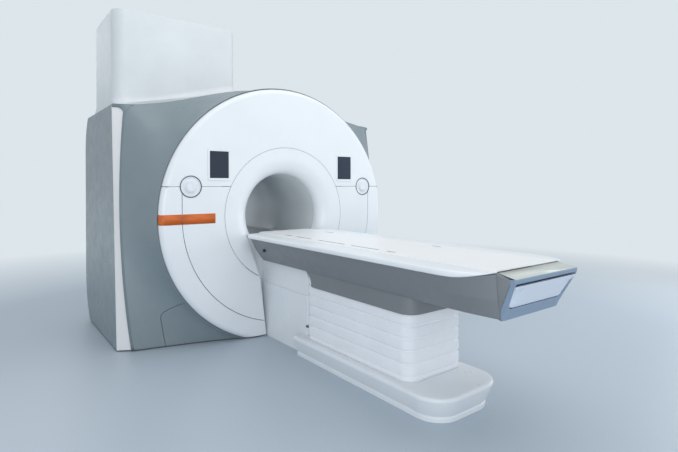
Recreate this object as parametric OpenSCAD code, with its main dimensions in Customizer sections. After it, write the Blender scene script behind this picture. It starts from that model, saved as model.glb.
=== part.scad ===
// Whole-body magnetic resonance scanner with its patient table.
// X runs across the scanner, Y along the bore away from the table, Z up.
// The origin is on the floor, straight under the centre of the bore.

/* [Scanner] */
// Clear diameter of the patient bore
bore_d = 700; // [600:5:720]
// Height of the bore's centre line above the floor
bore_z = 1006; // [990:1:1030]
// Length of the scanner from its front face to its rear face
cover_l = 1750; // [1700:10:1900]
// Outer radius of the round front cover
disc_r = 1070; // [1050:1:1090]
// Radius of the front cover's rounded rim
rim_round = 45; // [20:1:60]
// Wall of every moulded cover
cover_t = 8; // [4:1:12]
// Gap between neighbouring covers
seam = 4; // [2:0.5:8]
// Height of the covers' lower edges above the floor
floor_gap = 10; // [6:1:20]

/* [Front cover] */
// Height of the joint between the upper and lower front covers
seam_z = 1245; // [1200:1:1290]
// Width of the rim pieces beside the lower covers
rim_piece_w = 166; // [130:1:200]
// Outer radius of the ring round the bore's mouth
mouth_r = 570; // [540:1:600]
// Radius at which the mouth starts to turn into the bore
flare_r = 455; // [420:1:500]
// Depth of the mouth behind the front face
flare_depth = 116; // [90:1:140]
// Half width of the table recess at the height of the tabletop
recess_top_w = 375; // [360:1:400]
// Half width of the table recess half way down
recess_mid_w = 258; // [250:1:280]
// Half width of the table recess at the floor
recess_low_w = 204; // [200:1:230]
// Height at which the recess is narrowest above its foot
recess_mid_z = 469; // [420:1:520]
// Height of the upper corners of the recess
recess_top_z = 845; // [800:1:870]
// Height of the orange stripe's centre
stripe_z = 999; // [900:1:1100]
// Width of the orange stripe
stripe_w = 77; // [40:1:120]
// Distance of the stripe's inner end from the middle
stripe_end = 648; // [600:1:760]

/* [Controls] */
// Distance of each display's centre from the middle
display_x = 615; // [600:1:650]
// Height of each display's centre
display_z = 1416; // [1400:1:1460]
// Width of the display bezel
display_w = 187; // [160:1:200]
// Height of the display bezel
display_h = 250; // [200:1:270]
// Width of the bezel's frame
bezel_w = 16; // [8:1:30]
// Distance of each control dial from the round cover's side
dial_in = 230; // [210:1:240]
// Radius of the ring round each dial
dial_ring_r = 83; // [70:1:90]
// Radius of each dial's push button
button_r = 36; // [25:1:45]
// Travel of the push button
button_travel = 3; // [1:0.5:4]

/* [Body covers] */
// How far the grey body stands out past the round cover on each side
flank_out = 180; // [150:5:190]
// How far the side panels stand out past the grey front
side_out = 40; // [30:1:70]
// Height of the roof's middle over the round cover
roof_over = 39; // [30:1:80]
// Drop of the roof from its middle to its shoulders
crown_h = 230; // [200:5:260]
// How much the flanks tuck in at the floor
flank_tuck = 63; // [20:1:80]
// Distance from the centre to the body's front edge at the floor
edge_y = 605; // [560:5:640]
// How far the body's front edge leans back up to the shoulders
edge_lean = 135; // [60:5:160]
// Depth of the pale edge strips
strip_depth = 65; // [40:1:80]
// Distance from the centre to the side panels' rear edge
side_back = 715; // [680:5:740]

/* [Tower] */
// Distance of the tower's left side from the side panel's outside
tower_in = 20; // [10:5:90]
// Right edge of the tower
tower_x1 = -240; // [-320:5:-200]
// Front of the tower
tower_y0 = -380; // [-420:5:-340]
// Rear of the tower
tower_y1 = 370; // [330:5:420]
// Height of the tower
tower_z = 2650; // [2500:10:2800]
// Radius of the tower's corners
tower_r = 90; // [40:5:120]
// Outer radius of the quench pipe
pipe_r = 75; // [50:1:90]

/* [Magnet] */
// Distance from the round cover's rim to the vacuum vessel
vessel_in = 140; // [130:1:170]
// Length of the vacuum vessel
vessel_l = 1510; // [1460:10:1510]
// Radius of the warm bore through the vacuum vessel
warm_r = 475; // [465:1:485]
// Wall of the vacuum vessel
vessel_t = 10; // [6:1:14]
// Distance of the anchor holes from the middle, across
anchor_x = 640; // [620:5:680]
// Distance of the anchor holes from the middle, along the bore
anchor_y = 480; // [420:5:520]
// Diameter of the anchor holes in the magnet's feet
anchor_d = 22; // [16:1:30]

/* [Table] */
// Height of the tabletop's surface
top_z = 865; // [860:1:875]
// Half width of the sliding tabletop
top_w = 262; // [230:1:264]
// Thickness of the sliding tabletop
top_t = 45; // [30:1:45]
// Head end of the tabletop, from the bore's centre
top_head = -810; // [-830:1:-800]
// Foot end of the tabletop
top_foot = -3146; // [-3200:1:-3100]
// Half width of the table over its white rim
rim_w = 407; // [390:1:420]
// Half width of the rim at its foot end
rim_end_w = 271; // [266:1:290]
// Half width of the housing under the rim
housing_w = 384; // [370:1:390]
// Half width of the housing's underside
housing_low_w = 262; // [255:1:280]
// Height of the housing's underside
housing_z = 640; // [630:1:660]
// Foot end of the end cap
cap_end = -3242; // [-3280:1:-3200]
// How far the table can be lowered
lift_travel = 290; // [200:10:290]
// How far the tabletop slides into the bore
slide_travel = 1750; // [1200:10:1750]

/* [Table foot] */
// Half width of the bellows
bellows_w = 238; // [220:1:240]
// End of the bellows nearest the scanner
bellows_head = -1510; // [-1530:1:-1506]
// End of the bellows furthest from the scanner
bellows_foot = -2567; // [-2580:1:-2500]
// Height of one fold of the bellows
fold_h = 72; // [60:1:72]
// Half width of the grey skirt round the bellows
skirt_w = 250; // [250:1:255]
// Height of the skirt's lower edge
skirt_z = 535; // [500:1:560]
// Half width of the plinth at the floor
plinth_w = 245; // [235:1:260]
// How far the plinth's top stands out past its foot
plinth_flare = 40; // [0:1:50]
// Height of the plinth
plinth_h = 150; // [120:1:152]
// Foot end of the plinth at the floor
plinth_foot = -2785; // [-2850:1:-2700]
// Half width of the pedestal between scanner and bellows
dock_w = 195; // [180:1:200]
// Height of the fixed part of the pedestal
dock_z = 440; // [400:1:445]
// Foot end of the pedestal
dock_foot = -1500; // [-1505:1:-1480]

/* [Hidden] */

$fn = 64;
fit = 0.3;
slack = 0.4;
eps = 0.01;
far = 4000;
bore_r = bore_d / 2;
face_y = -cover_l / 2;
rear_y = cover_l / 2;
seam_r = disc_r - rim_piece_w;
dial_x = disc_r - dial_in;
body_w = 2 * (disc_r + flank_out);
side_w = body_w + 2 * side_out;
shoulder_z = bore_z + disc_r + roof_over - crown_h;
crown_w = body_w / 2;
tower_x0 = tower_in - side_w / 2;
vessel_r = disc_r - vessel_in;
vessel_y = vessel_l / 2;
white = [0.92, 0.94, 0.96];
body_grey = [0.56, 0.62, 0.65];
table_grey = [0.42, 0.46, 0.49];
steel = [0.62, 0.64, 0.67];
dark = [0.12, 0.13, 0.15];

// Helpers that set shapes on the scanner's own axes

// Spins a profile of radius and depth round the bore's centre line
module round_bore() {
    translate([0, 0, bore_z]) rotate([-90, 0, 0]) rotate_extrude($fn = 240) children();
}

// A round bar on the bore's centre line
module bore_rod(r, y0, y1) {
    translate([0, y0, bore_z]) rotate([-90, 0, 0]) cylinder(r = r, h = y1 - y0, $fn = 240);
}

// A round tube on the bore's centre line
module bore_tube(r0, r1, y0, y1) {
    difference() {
        bore_rod(r1, y0, y1);
        bore_rod(r0, y0 - 1, y1 + 1);
    }
}

// Extrudes an outline seen from the front between two depths
module front_plate(y0, y1) {
    translate([0, y1, 0]) rotate([90, 0, 0]) linear_extrude(y1 - y0) children();
}

// Extrudes an outline seen from the side between two places across
module side_plate(x0, x1) {
    translate([x0, 0, 0]) rotate([90, 0, 90]) linear_extrude(x1 - x0) children();
}

// A box from one corner to the opposite one
module block(a, b) {
    translate(a) cube(b - a);
}

// A flat outline with four equal rounded corners
module round_rect(x0, y0, x1, y1, r) {
    translate([x0 + r, y0]) square([x1 - x0 - 2 * r, y1 - y0]);
    translate([x0, y0 + r]) square([x1 - x0, y1 - y0 - 2 * r]);
    for (x = [x0 + r, x1 - r], y = [y0 + r, y1 - r]) translate([x, y]) circle(r);
}

// A round bar across the table
module cross_rod(r, x0, x1, y, z) {
    translate([x0, y, z]) rotate([0, 90, 0]) cylinder(r = r, h = x1 - x0);
}

// Points of an arc, from one angle to another
function arc(c, r, a0, a1, n = 8) =
    [for (i = [0:n]) let (a = a0 + (a1 - a0) * i / n) c + r * [cos(a), sin(a)]];

// Magnet

end_plate_t = 20;
shield_gap = 20;
shield_t = 4;
helium_gap = 16;
helium_t = 8;
shield_r0 = warm_r + vessel_t + 10;
shield_r1 = vessel_r - vessel_t - shield_gap;
shield_y = vessel_y - end_plate_t - 15;
helium_r0 = shield_r0 + shield_t + 16;
helium_r1 = shield_r1 - shield_t - helium_gap;
helium_y = shield_y - shield_t - 15;
rod_angles = [30, 150, 210, 330];
rod_y = 0.5 * vessel_y;
rod_r = 12;

// A closed ring-shaped tank round the bore
module ring_tank(r0, r1, y, t, end_t) {
    difference() {
        bore_tube(r0, r1, -y, y);
        bore_tube(r0 + t, r1 - t, -y + end_t, y - end_t);
    }
}

// Places a child at each radial suspension rod
module at_rods() {
    for (a = rod_angles, y = [-rod_y, rod_y]) translate([0, y, bore_z]) rotate([0, a, 0]) children();
}

module magnet_vessel() color(steel) ring_tank(warm_r, vessel_r, vessel_y, vessel_t, end_plate_t);

module radiation_shield() color("silver") difference() {
    ring_tank(shield_r0, shield_r1, shield_y, shield_t, shield_t);
    at_rods() cylinder(r = rod_r + fit, h = vessel_r);
}

module helium_vessel() color(steel) ring_tank(helium_r0, helium_r1, helium_y, helium_t, helium_t);

coil_centres = [0, 0.19, 0.55];
coil_widths = [70, 110, 200];
coil_depth = 85;
shield_coil_w = 160;
shield_coil_t = 60;

module magnet_coils() color([0.72, 0.45, 0.25]) {
    for (i = [1:2], side = [-1, 1]) let (y = side * coil_centres[i] * vessel_y, w = coil_widths[i] / 2)
        bore_tube(helium_r0 + helium_t + fit, helium_r0 + helium_t + coil_depth, y - w, y + w);
    bore_tube(helium_r0 + helium_t + fit, helium_r0 + helium_t + coil_depth,
        -coil_widths[0] / 2, coil_widths[0] / 2);
    for (side = [-1, 1]) let (y = side * 0.6 * vessel_y, w = shield_coil_w / 2)
        bore_tube(helium_r1 - helium_t - shield_coil_t, helium_r1 - helium_t - fit, y - w, y + w);
}

module suspension_rods() color("goldenrod") difference() {
    at_rods() cylinder(r = rod_r, h = vessel_r - vessel_t + 5);
    bore_rod(helium_r1 + fit, -vessel_y, vessel_y);
    bore_tube(vessel_r - vessel_t - fit, vessel_r + 50, -vessel_y, vessel_y);
}

turret_x = -480;
turret_y = -60;
turret_r = 140;
turret_z = shoulder_z + 205;
turret_top_t = 25;
cold_y = 200;
cold_r = 62;
cold_z = shoulder_z + 265;
pipe_t = 3;

// What stands on the vessel is cut to its round top
module on_vessel() {
    difference() {
        children();
        bore_rod(vessel_r + fit, -vessel_y, vessel_y);
    }
}

module service_turret() color(steel) on_vessel() {
    translate([turret_x, turret_y, bore_z]) cylinder(r = turret_r, h = turret_z - bore_z - turret_top_t);
    translate([turret_x, turret_y, turret_z - turret_top_t]) cylinder(r = turret_r + 20, h = turret_top_t);
}

module cold_head() color([0.75, 0.77, 0.8]) on_vessel() {
    translate([turret_x, cold_y, bore_z]) cylinder(r = cold_r, h = cold_z - bore_z - 120);
    translate([turret_x, cold_y, cold_z - 120]) cylinder(r = cold_r + 18, h = 20);
    translate([turret_x, cold_y, cold_z - 100]) cylinder(r = cold_r - 12, h = 100);
}

module quench_pipe() color("silver") translate([turret_x, turret_y, turret_z]) difference() {
    union() {
        cylinder(r = pipe_r, h = tower_z - turret_z);
        cylinder(r = pipe_r + 30, h = 16);
        translate([0, 0, 160]) cylinder(r = pipe_r + 10, h = 30);
    }
    translate([0, 0, -1]) cylinder(r = pipe_r - pipe_t, h = tower_z);
}

foot_block = [200, 240];
foot_plate = [340, 300];
foot_plate_t = 25;
foot_in = 120;
foot_reach = anchor_x - foot_in + foot_block[0] / 2;
foot_top = bore_z - sqrt(vessel_r * vessel_r - foot_reach * foot_reach) + 17;

module magnet_feet() color(steel) difference() {
    for (x = [-1, 1], y = [-1, 1]) translate([x * (anchor_x - foot_in), y * anchor_y, 0]) {
        translate([-foot_block[0] / 2, -foot_block[1] / 2, 0]) cube([foot_block[0], foot_block[1], foot_top]);
        translate([-foot_plate[0] / 2, -foot_plate[1] / 2, 0]) cube([foot_plate[0], foot_plate[1], foot_plate_t]);
    }
    bore_rod(vessel_r + fit, -vessel_y, vessel_y);
    for (x = [-1, 1], y = [-1, 1]) translate([x * anchor_x, y * anchor_y, -1])
        cylinder(d = anchor_d, h = foot_plate_t + 2);
}

// Bore

coil_r0 = bore_r + 6;
coil_end_w = 40;
body_coil_t = 14;
gradient_r0 = coil_r0 + body_coil_t + 15;
gradient_r1 = warm_r - 5;
gradient_y = 700;
body_coil_y = 640;
liner_y = rear_y - flare_depth;

module gradient_coil() color([0.78, 0.7, 0.5]) difference() {
    union() {
        bore_rod(gradient_r1, -gradient_y, gradient_y);
        for (y = [-gradient_y + 60, gradient_y - 60 - coil_end_w]) bore_rod(warm_r - fit, y, y + coil_end_w);
    }
    bore_rod(gradient_r0, -gradient_y - 1, gradient_y + 1);
}

module body_coil() color([0.8, 0.82, 0.78]) difference() {
    union() {
        bore_rod(coil_r0 + body_coil_t, -body_coil_y, body_coil_y);
        for (y = [-body_coil_y, body_coil_y - coil_end_w]) bore_rod(gradient_r0 - fit, y, y + coil_end_w);
    }
    bore_rod(coil_r0 + fit, -body_coil_y - 1, body_coil_y + 1);
}

module bore_liner() color([0.8, 0.83, 0.85]) bore_tube(bore_r, coil_r0, -liner_y, liner_y);

rail_x = 205;
rail_w = 26;
rail_top = top_z - top_t - 2;

module bore_rails() color([0.85, 0.87, 0.9]) intersection() {
    for (x = [-rail_x, rail_x]) {
        block([x - rail_w / 2, -liner_y + 2, bore_z - bore_r], [x + rail_w / 2, liner_y - 2, rail_top]);
        block([x - rail_w, -liner_y + 2, rail_top - 8], [x + rail_w, liner_y - 2, rail_top]);
    }
    bore_rod(bore_r - fit, -liner_y, liner_y);
}

// Frames that carry the covers

frame_y = rim_round + 35;
frame_t = 12;
frame_r0 = mouth_r + 20;
front_frame_y = 30;
front_frame_r = disc_r - 70;
spacer_r = vessel_r - 130;
spacer_t = 12;
rim_lip = 16;
post_r = 12;
inner_post = mouth_r + 70;
outer_post = vessel_r - 70;
rim_post = (disc_r + seam_r) / 2 - 10;
post_angles = [135:30:405];

// The table recess seen from the front, grown by a margin
module recess_outline(m = 0) {
    polygon([[-recess_top_w - m, recess_top_z], [-recess_mid_w - m, recess_mid_z],
        [-recess_low_w - m, -1], [recess_low_w + m, -1],
        [recess_mid_w + m, recess_mid_z], [recess_top_w + m, recess_top_z]]);
}

module above_floor() {
    block([-far, -far, floor_gap], [far, far, far]);
}

module front_frame() color([0.35, 0.37, 0.4]) intersection() {
    above_floor();
    difference() {
        union() {
            bore_tube(frame_r0, front_frame_r, face_y + front_frame_y, face_y + front_frame_y + frame_t);
            bore_tube(spacer_r - spacer_t, spacer_r, face_y + front_frame_y + 1, -vessel_y);
            for (a = post_angles, r = [inner_post, outer_post, rim_post])
                translate([0, face_y, bore_z]) rotate([-90, 0, 0]) rotate([0, 0, a])
                    translate([r, 0, cover_t]) cylinder(r = post_r, h = front_frame_y - cover_t + 1);
        }
        front_plate(face_y - 1, -vessel_y + 1) recess_outline(cover_t);
        at_dials() cylinder(r = dial_ring_r + 8, h = front_frame_y - 2);
        for (x = [-1, 1]) block([x * display_x - display_w / 2 - 2, face_y - 1, display_z - display_h / 2 - 2],
            [x * display_x + display_w / 2 + 2, face_y + bezel_depth + 4, display_z + display_h / 2 + 2]);
    }
}

module rear_frame() color([0.35, 0.37, 0.4]) intersection() {
    above_floor();
    union() {
        bore_tube(frame_r0, vessel_r, rear_y - frame_y - frame_t, rear_y - frame_y);
        for (a = [15:30:345]) translate([0, vessel_y, bore_z]) rotate([-90, 0, 0]) rotate([0, 0, a])
            translate([spacer_r, 0, 0]) cylinder(r = post_r, h = rear_y - frame_y - vessel_y);
        for (a = [15:30:345]) translate([0, rear_y - frame_y, bore_z]) rotate([-90, 0, 0])
            rotate([0, 0, a]) translate([frame_r0 + 25, 0, 0]) cylinder(r = post_r, h = frame_y - cover_t - fit);
    }
}

// Front cover

// Profile of the round cover's skin, as radius and depth, at an offset from its face
function disc_edge(d, y_end) = concat(
    [[mouth_r + seam / 2, face_y - d]],
    arc([disc_r - rim_round, face_y + rim_round], rim_round + d, -90, 0),
    [[disc_r + d, y_end]]);

// The round cover's skin between two offsets
module disc_skin(d0, d1, y_end) {
    inner = disc_edge(d0, y_end);
    round_bore() polygon(concat(disc_edge(d1, y_end), [for (i = [len(inner) - 1:-1:0]) inner[i]]));
}

// Places a child at each control dial, pointing into the cover
module at_dials(sides = [-1, 1]) {
    for (s = sides) translate([s * dial_x, face_y, seam_z]) rotate([-90, 0, 0]) children();
}

// The area inside the vertical joints of the lower covers
module inner_area() {
    translate([0, bore_z]) circle(seam_r, $fn = 240);
    translate([-seam_r, bore_z]) square([2 * seam_r, far]);
}

// One piece of the round cover, cut to the outline given as a child
module disc_piece() {
    difference() {
        intersection() {
            disc_skin(-cover_t, 0, face_y + rim_round + rim_lip);
            above_floor();
            front_plate(face_y - 1, -vessel_y) children();
        }
        at_dials() translate([0, 0, -1]) cylinder(r = dial_ring_r + fit, h = 60);
        for (x = [-1, 1]) translate([x * display_x, 0, display_z]) front_plate(face_y - 1, face_y + 60)
            round_rect(-display_w / 2 - fit, -display_h / 2 - fit, display_w / 2 + fit, display_h / 2 + fit, 14);
        front_plate(face_y - 1, -vessel_y) recess_outline();
    }
}

module front_cover_upper() color(white) disc_piece() translate([-far, seam_z + seam / 2]) square(2 * far);

module front_cover_lower(side) color(white) disc_piece() intersection() {
    translate([side > 0 ? 0 : -far, -far]) square([far, far + seam_z - seam / 2]);
    inner_area();
}

module rim_cover(side) color(white) disc_piece() difference() {
    translate([side > 0 ? 0 : -far, -far]) square([far, far + seam_z - seam / 2]);
    translate([-seam_r - seam, bore_z]) square([2 * seam_r + 2 * seam, far]);
    translate([0, bore_z]) circle(seam_r + seam, $fn = 240);
}

module front_cover_left() front_cover_lower(-1);
module front_cover_right() front_cover_lower(1);
module rim_cover_left() rim_cover(-1);
module rim_cover_right() rim_cover(1);

// Profile of the bore's mouth, as radius and depth from the face
function mouth_edge(d) = concat(
    [[mouth_r - seam / 2, -d], [flare_r + 40, -d]],
    [for (a = [0:10:90]) let (k = flare_r - bore_r, h = flare_depth)
        [flare_r + 40 - (k + 40 + d) * sin(a), h - (h + d) * cos(a)]]);

// The bore's mouth as a moulded ring
module mouth_skin() {
    inner = mouth_edge(-cover_t);
    round_bore() polygon(concat(mouth_edge(0), [for (i = [len(inner) - 1:-1:0]) inner[i]]));
}

module front_funnel() color(white) difference() {
    translate([0, face_y, 0]) mouth_skin();
    front_plate(face_y - 1, -liner_y + 1) recess_outline();
}

module rear_funnel() color(white) translate([0, rear_y, 0]) rotate([0, 0, 180]) mouth_skin();

recess_depth = 105;

module dock_recess() color(white) intersection() {
    above_floor();
    difference() {
        union() {
            front_plate(face_y + cover_t, face_y + recess_depth) difference() {
                recess_outline(cover_t - 1);
                recess_outline(0);
            }
            front_plate(face_y + recess_depth - cover_t, face_y + recess_depth) recess_outline();
        }
        bore_rod(bore_r + cover_t + fit, face_y - 1, -liner_y + 1);
        translate([0, face_y, 0]) mouth_fill();
    }
}

// The space that the mouth and what is inside it takes up
module mouth_fill() {
    round_bore() polygon(concat([[0, -1], [mouth_r, -1]],
        [for (p = mouth_edge(-cover_t - fit)) p], [[0, flare_depth + 1]]));
}

module accent_stripe() color([0.8, 0.34, 0.1]) intersection() {
    disc_skin(fit / 10, 0.8, face_y + rim_round);
    front_plate(face_y - 2, -vessel_y) difference() {
        translate([-far, stripe_z - stripe_w / 2]) square([far - stripe_end, stripe_w]);
        translate([-seam_r - seam, 0]) square([seam, far]);
    }
}

// Controls on both sides of the bore

bezel_proud = 4;
bezel_depth = 20;

module display_bezels() color(white) for (x = [-1, 1]) translate([x * display_x, 0, display_z]) difference() {
    front_plate(face_y - bezel_proud, face_y + bezel_depth)
        round_rect(-display_w / 2, -display_h / 2, display_w / 2, display_h / 2, 14);
    front_plate(face_y - bezel_proud - 1, face_y + bezel_depth - 6)
        square([display_w - 2 * bezel_w, display_h - 2 * bezel_w - 8], center = true);
}

module display_screens() color([0.06, 0.09, 0.16]) for (x = [-1, 1]) translate([x * display_x, 0, display_z])
    front_plate(face_y - 1, face_y + bezel_depth - 6 - fit)
        square([display_w - 2 * bezel_w - 2 * fit, display_h - 2 * bezel_w - 8 - 2 * fit], center = true);

ring_wall = 5;
ring_depth = 26;
ring_back = 4;
dial_t = 11;
lip_h = 6;

module control_rings() color(dark) at_dials() difference() {
    translate([0, 0, -3]) cylinder(r = dial_ring_r, h = ring_depth + 3);
    translate([0, 0, -4]) cylinder(r = dial_ring_r - ring_wall, h = ring_depth - ring_back + 4);
}

// The flat turning plate with a raised lip round its button
module control_dial(side) color(white) at_dials([side]) difference() {
    union() {
        translate([0, 0, ring_depth - ring_back - slack - dial_t - 8])
            cylinder(r = dial_ring_r - ring_wall - slack, h = dial_t);
        translate([0, 0, -2 - lip_h]) cylinder(r = button_r + 8, h = ring_depth - ring_back - slack + 2 + lip_h);
    }
    translate([0, 0, -20]) cylinder(r = button_r + slack, h = 60);
}

module control_button(side) color([0.85, 0.88, 0.92]) at_dials([side])
    translate([0, 0, -lip_h - 4]) cylinder(r = button_r, h = ring_depth - ring_back - button_travel + lip_h + 3);

module control_dial_left() control_dial(-1);
module control_dial_right() control_dial(1);
module control_button_left() control_button(-1);
module control_button_right() control_button(1);

// Grey body

roof_blend = 24;
below_floor = 80;
spread = [0, 0.04, 0.12, 0.28, 0.5, 0.75, 1];
flare_steps = 44;
dome_steps = 84;
rim_angle = acos(max(-1, (floor_gap - bore_z) / (disc_r + seam)));
start_angle = asin(seam / 4 / disc_r);
strip_gap = 0.5;
back_w = side_w / 2 - cover_t - strip_gap;
rear_tuck = 195;
rear_tuck_z = 540;
rear_round = 130;
rear_round_z = shoulder_z - 385;
strip_inset = 40;

// Half width of the grey body's front at a height
function half_w(z) = body_w / 2 - flank_tuck * pow((z - bore_z) / bore_z, 2);

// Height of the roof at a distance from the middle
function roof_z(x) = shoulder_z + crown_h * pow(cos(90 * min(abs(x) / crown_w, 1)), 2);

// Below 1 inside the body's outline seen from the front, for a half width
function outline_level(x, z, w) = pow(abs(x) / w, roof_blend) + (z > bore_z
    ? pow((z - bore_z) / (roof_z(x) - bore_z), roof_blend)
    : pow((bore_z - z) / (bore_z + below_floor), roof_blend));

// Distance from the bore's centre to the body's outline in a direction
function outline_r(a, back, lo = disc_r, hi = (side_w + bore_z) / 2, n = 14) =
    let (m = (lo + hi) / 2, z = bore_z + m * cos(a), w = back ? back_w : half_w(z))
    n == 0 ? m : outline_level(m * sin(a), z, w) < 1
        ? outline_r(a, back, m, hi, n - 1) : outline_r(a, back, lo, m, n - 1);

// Half width of the outline's front at a height
function side_x(z) = half_w(z) * pow(1 - pow(z > bore_z ? (z - bore_z) / (shoulder_z - bore_z)
    : (bore_z - z) / (bore_z + below_floor), roof_blend), 1 / roof_blend);

floor_angle = atan2(side_x(floor_gap), floor_gap - bore_z);

// Depth of the body's front edge at a height
function front_edge(z) = -edge_y + edge_lean * min(max(z, 0), shoulder_z) / shoulder_z;

// Depth of the body's rear edge at a height
function rear_edge(z) = let (h = min(max(z, 0), shoulder_z))
    side_back - rear_tuck * pow(1 - min(h, rear_tuck_z) / rear_tuck_z, 3)
    - rear_round * pow(max(h - rear_round_z, 0) / (shoulder_z - rear_round_z), 3);

// Turns a distance and direction from the bore's centre into a point at a depth
function polar(r, a, y) = [r * sin(a), y, bore_z + r * cos(a)];

// A point of the flared front, from the round cover's rim out to the front edge
function flare_point(t, s, d) = let (r0 = disc_r + seam,
    a0 = start_angle + (rim_angle - start_angle) * t, a1 = start_angle + (floor_angle - start_angle) * t,
    k = s > 0 ? d : 0, y0 = face_y + rim_round, p0 = polar(r0 - k, a0, y0),
    p1 = polar(outline_r(a1, false) - k, a1, y0), q = p0 + (p1 - p0) * s)
    [q[0], y0 + (front_edge(p1[2]) - y0) * pow(s, 0.74) + d, q[2]];

// A point of the domed rear, from the bore's mouth out to the rear edge or the floor
function dome_point(a, s, d) = let (r0 = mouth_r + seam / 2, r1 = outline_r(a, true),
    end = cos(a) < -0.1 ? min(r1, (floor_gap - bore_z) / cos(a)) : r1, r = r0 + (end - r0) * s,
    y1 = rear_edge(bore_z + r1 * cos(a)), p = polar(r - (s > 0 && r1 == end ? d : 0), a, 0))
    [p[0], rear_y - (rear_y - y1) * pow((r - r0) / (r1 - r0), 5) - d, p[2]];

// A closed skin between two surfaces that share a net of points, in n rows of m
module net_skin(under, over, n, m, ring) {
    b = n * m;
    function at(i, j, o) = o + (i % n) * m + j;
    rows = ring ? n - 1 : n - 2;
    quads = concat(
        [for (i = [0:rows], j = [0:m - 2]) [at(i, j, 0), at(i + 1, j, 0), at(i + 1, j + 1, 0), at(i, j + 1, 0)]],
        [for (i = [0:rows], j = [0:m - 2]) [at(i, j, b), at(i, j + 1, b), at(i + 1, j + 1, b), at(i + 1, j, b)]],
        [for (i = [0:rows]) [at(i + 1, 0, 0), at(i, 0, 0), at(i, 0, b), at(i + 1, 0, b)]],
        [for (i = [0:rows]) [at(i, m - 1, 0), at(i + 1, m - 1, 0), at(i + 1, m - 1, b), at(i, m - 1, b)]],
        ring ? [] : [for (j = [0:m - 2]) [at(0, j, 0), at(0, j + 1, 0), at(0, j + 1, b), at(0, j, b)]],
        ring ? [] : [for (j = [0:m - 2])
            [at(n - 1, j + 1, 0), at(n - 1, j, 0), at(n - 1, j, b), at(n - 1, j + 1, b)]]);
    polyhedron(concat(under, over), [for (q = quads) each [[q[0], q[1], q[2]], [q[0], q[2], q[3]]]],
        convexity = 6);
}

// One side of the flared front, with its wall
module flare_skin() {
    ts = [for (i = [0:flare_steps]) i / flare_steps];
    net_skin([for (t = ts, s = spread) flare_point(t, s, cover_t)],
        [for (t = ts, s = spread) flare_point(t, s, 0)], len(ts), len(spread), false);
}

service_x = body_w / 2 - 250;
service_w = 700;
service_foot = 40;
service_bend = [60, 235];
service_rise = [[220, 400], [520, 520]];

// The removable service panel's outline seen from the front
module service_outline(m) {
    polygon(concat([[service_x - service_w, -m], [service_x - service_foot + m, -m]],
        arc([service_x - service_bend[0], service_bend[1]], service_bend[0] + m, 0, 60, 4),
        [for (p = service_rise) [service_x - p[0], p[1] + m]],
        [[service_x - service_w, service_rise[1][1] + m]]));
}

module surround(side) color(body_grey) mirror([side > 0 ? 0 : 1, 0, 0]) difference() {
    flare_skin();
    front_plate(face_y - 1, 0) service_outline(seam);
}

module surround_left() surround(-1);
module surround_right() surround(1);

module service_panels() color(body_grey) for (s = [0, 1]) mirror([s, 0, 0]) intersection() {
    flare_skin();
    front_plate(face_y - 1, 0) service_outline(0);
}

strip_steps = 14;
strip_corner = 100;

// The corners of an edge strip's section at a height
function strip_section(z) =
    let (y = front_edge(z), w = max(side_x(z), half_w(z) - strip_inset) - 1, x1 = side_w / 2) [
    [w, y, z], [x1 - 6, y + strip_depth - 8, z], [x1, y + strip_depth, z],
    [x1 - 2, y + strip_depth + cover_t, z], [w, y + cover_t, z]];

module trim_strip() {
    zs = [for (i = [0:2 * strip_steps]) i <= strip_steps
        ? floor_gap + (shoulder_z - strip_corner - floor_gap) * i / strip_steps
        : shoulder_z - strip_corner + strip_corner * (i - strip_steps) / strip_steps];
    n = 5;
    top = 2 * strip_steps * n;
    quads = [for (i = [0:2 * strip_steps - 1], k = [0:n - 1]) let (q = (k + 1) % n)
        [i * n + k, i * n + n + k, i * n + n + q, i * n + q]];
    polyhedron([for (z = zs) each strip_section(z)], concat(
        [for (k = [1:n - 2]) [0, k, k + 1]],
        [for (k = [1:n - 2]) [top, top + k + 1, top + k]],
        [for (q = quads) each [[q[0], q[1], q[2]], [q[0], q[2], q[3]]]]), convexity = 4);
}

// The right half of the flared front's outline seen from the front, grown by a margin
module flare_outline(m) {
    offset(delta = m) polygon(concat(
        [for (i = [0:flare_steps]) let (p = flare_point(i / flare_steps, 1, 0)) [p[0], p[2]]],
        [[0, floor_gap - m], [0, bore_z + disc_r]]));
}

module trim_strips() color(white) for (s = [0, 1]) mirror([s, 0, 0]) difference() {
    trim_strip();
    front_plate(-far, 0) flare_outline(strip_gap);
}

// A side panel seen from the side
module side_outline() {
    zs = [for (i = [0:16]) floor_gap + (shoulder_z - floor_gap) * i / 16];
    polygon(concat([for (z = [floor_gap, shoulder_z]) [front_edge(z) + strip_depth + cover_t + strip_gap, z]],
        [for (i = [16:-1:0]) [rear_edge(zs[i]), zs[i]]]));
}

module side_panels() color(body_grey) for (x = [-side_w / 2, side_w / 2 - cover_t])
    side_plate(x, x + cover_t) side_outline();

roof_front = front_edge(shoulder_z) + cover_t + strip_gap;
roof_back = rear_edge(shoulder_z) - cover_t - strip_gap;
roof_lip = 110;

// The roof's outline seen from the front, down to a depth under its surface
module roof_shape(w, d) {
    polygon(concat([[w, 0], [-w, 0]], [for (i = [0:32]) let (x = -w + w * i / 16) [x, roof_z(x) - d]]));
}

module top_cover() color(body_grey) difference() {
    front_plate(roof_front, roof_back) roof_shape(back_w, 0);
    front_plate(roof_front - 1, roof_back + 1) roof_shape(back_w + 1, roof_lip);
    front_plate(roof_front + cover_t, roof_back - cover_t) roof_shape(back_w + 1, cover_t);
    block([tower_x0 + 90, tower_y0 + 80, 0], [tower_x1 - 60, tower_y1 - 80, far]);
    linear_extrude(far) for (s = [0, 1]) mirror([s, 0]) strip_clear();
}

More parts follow.
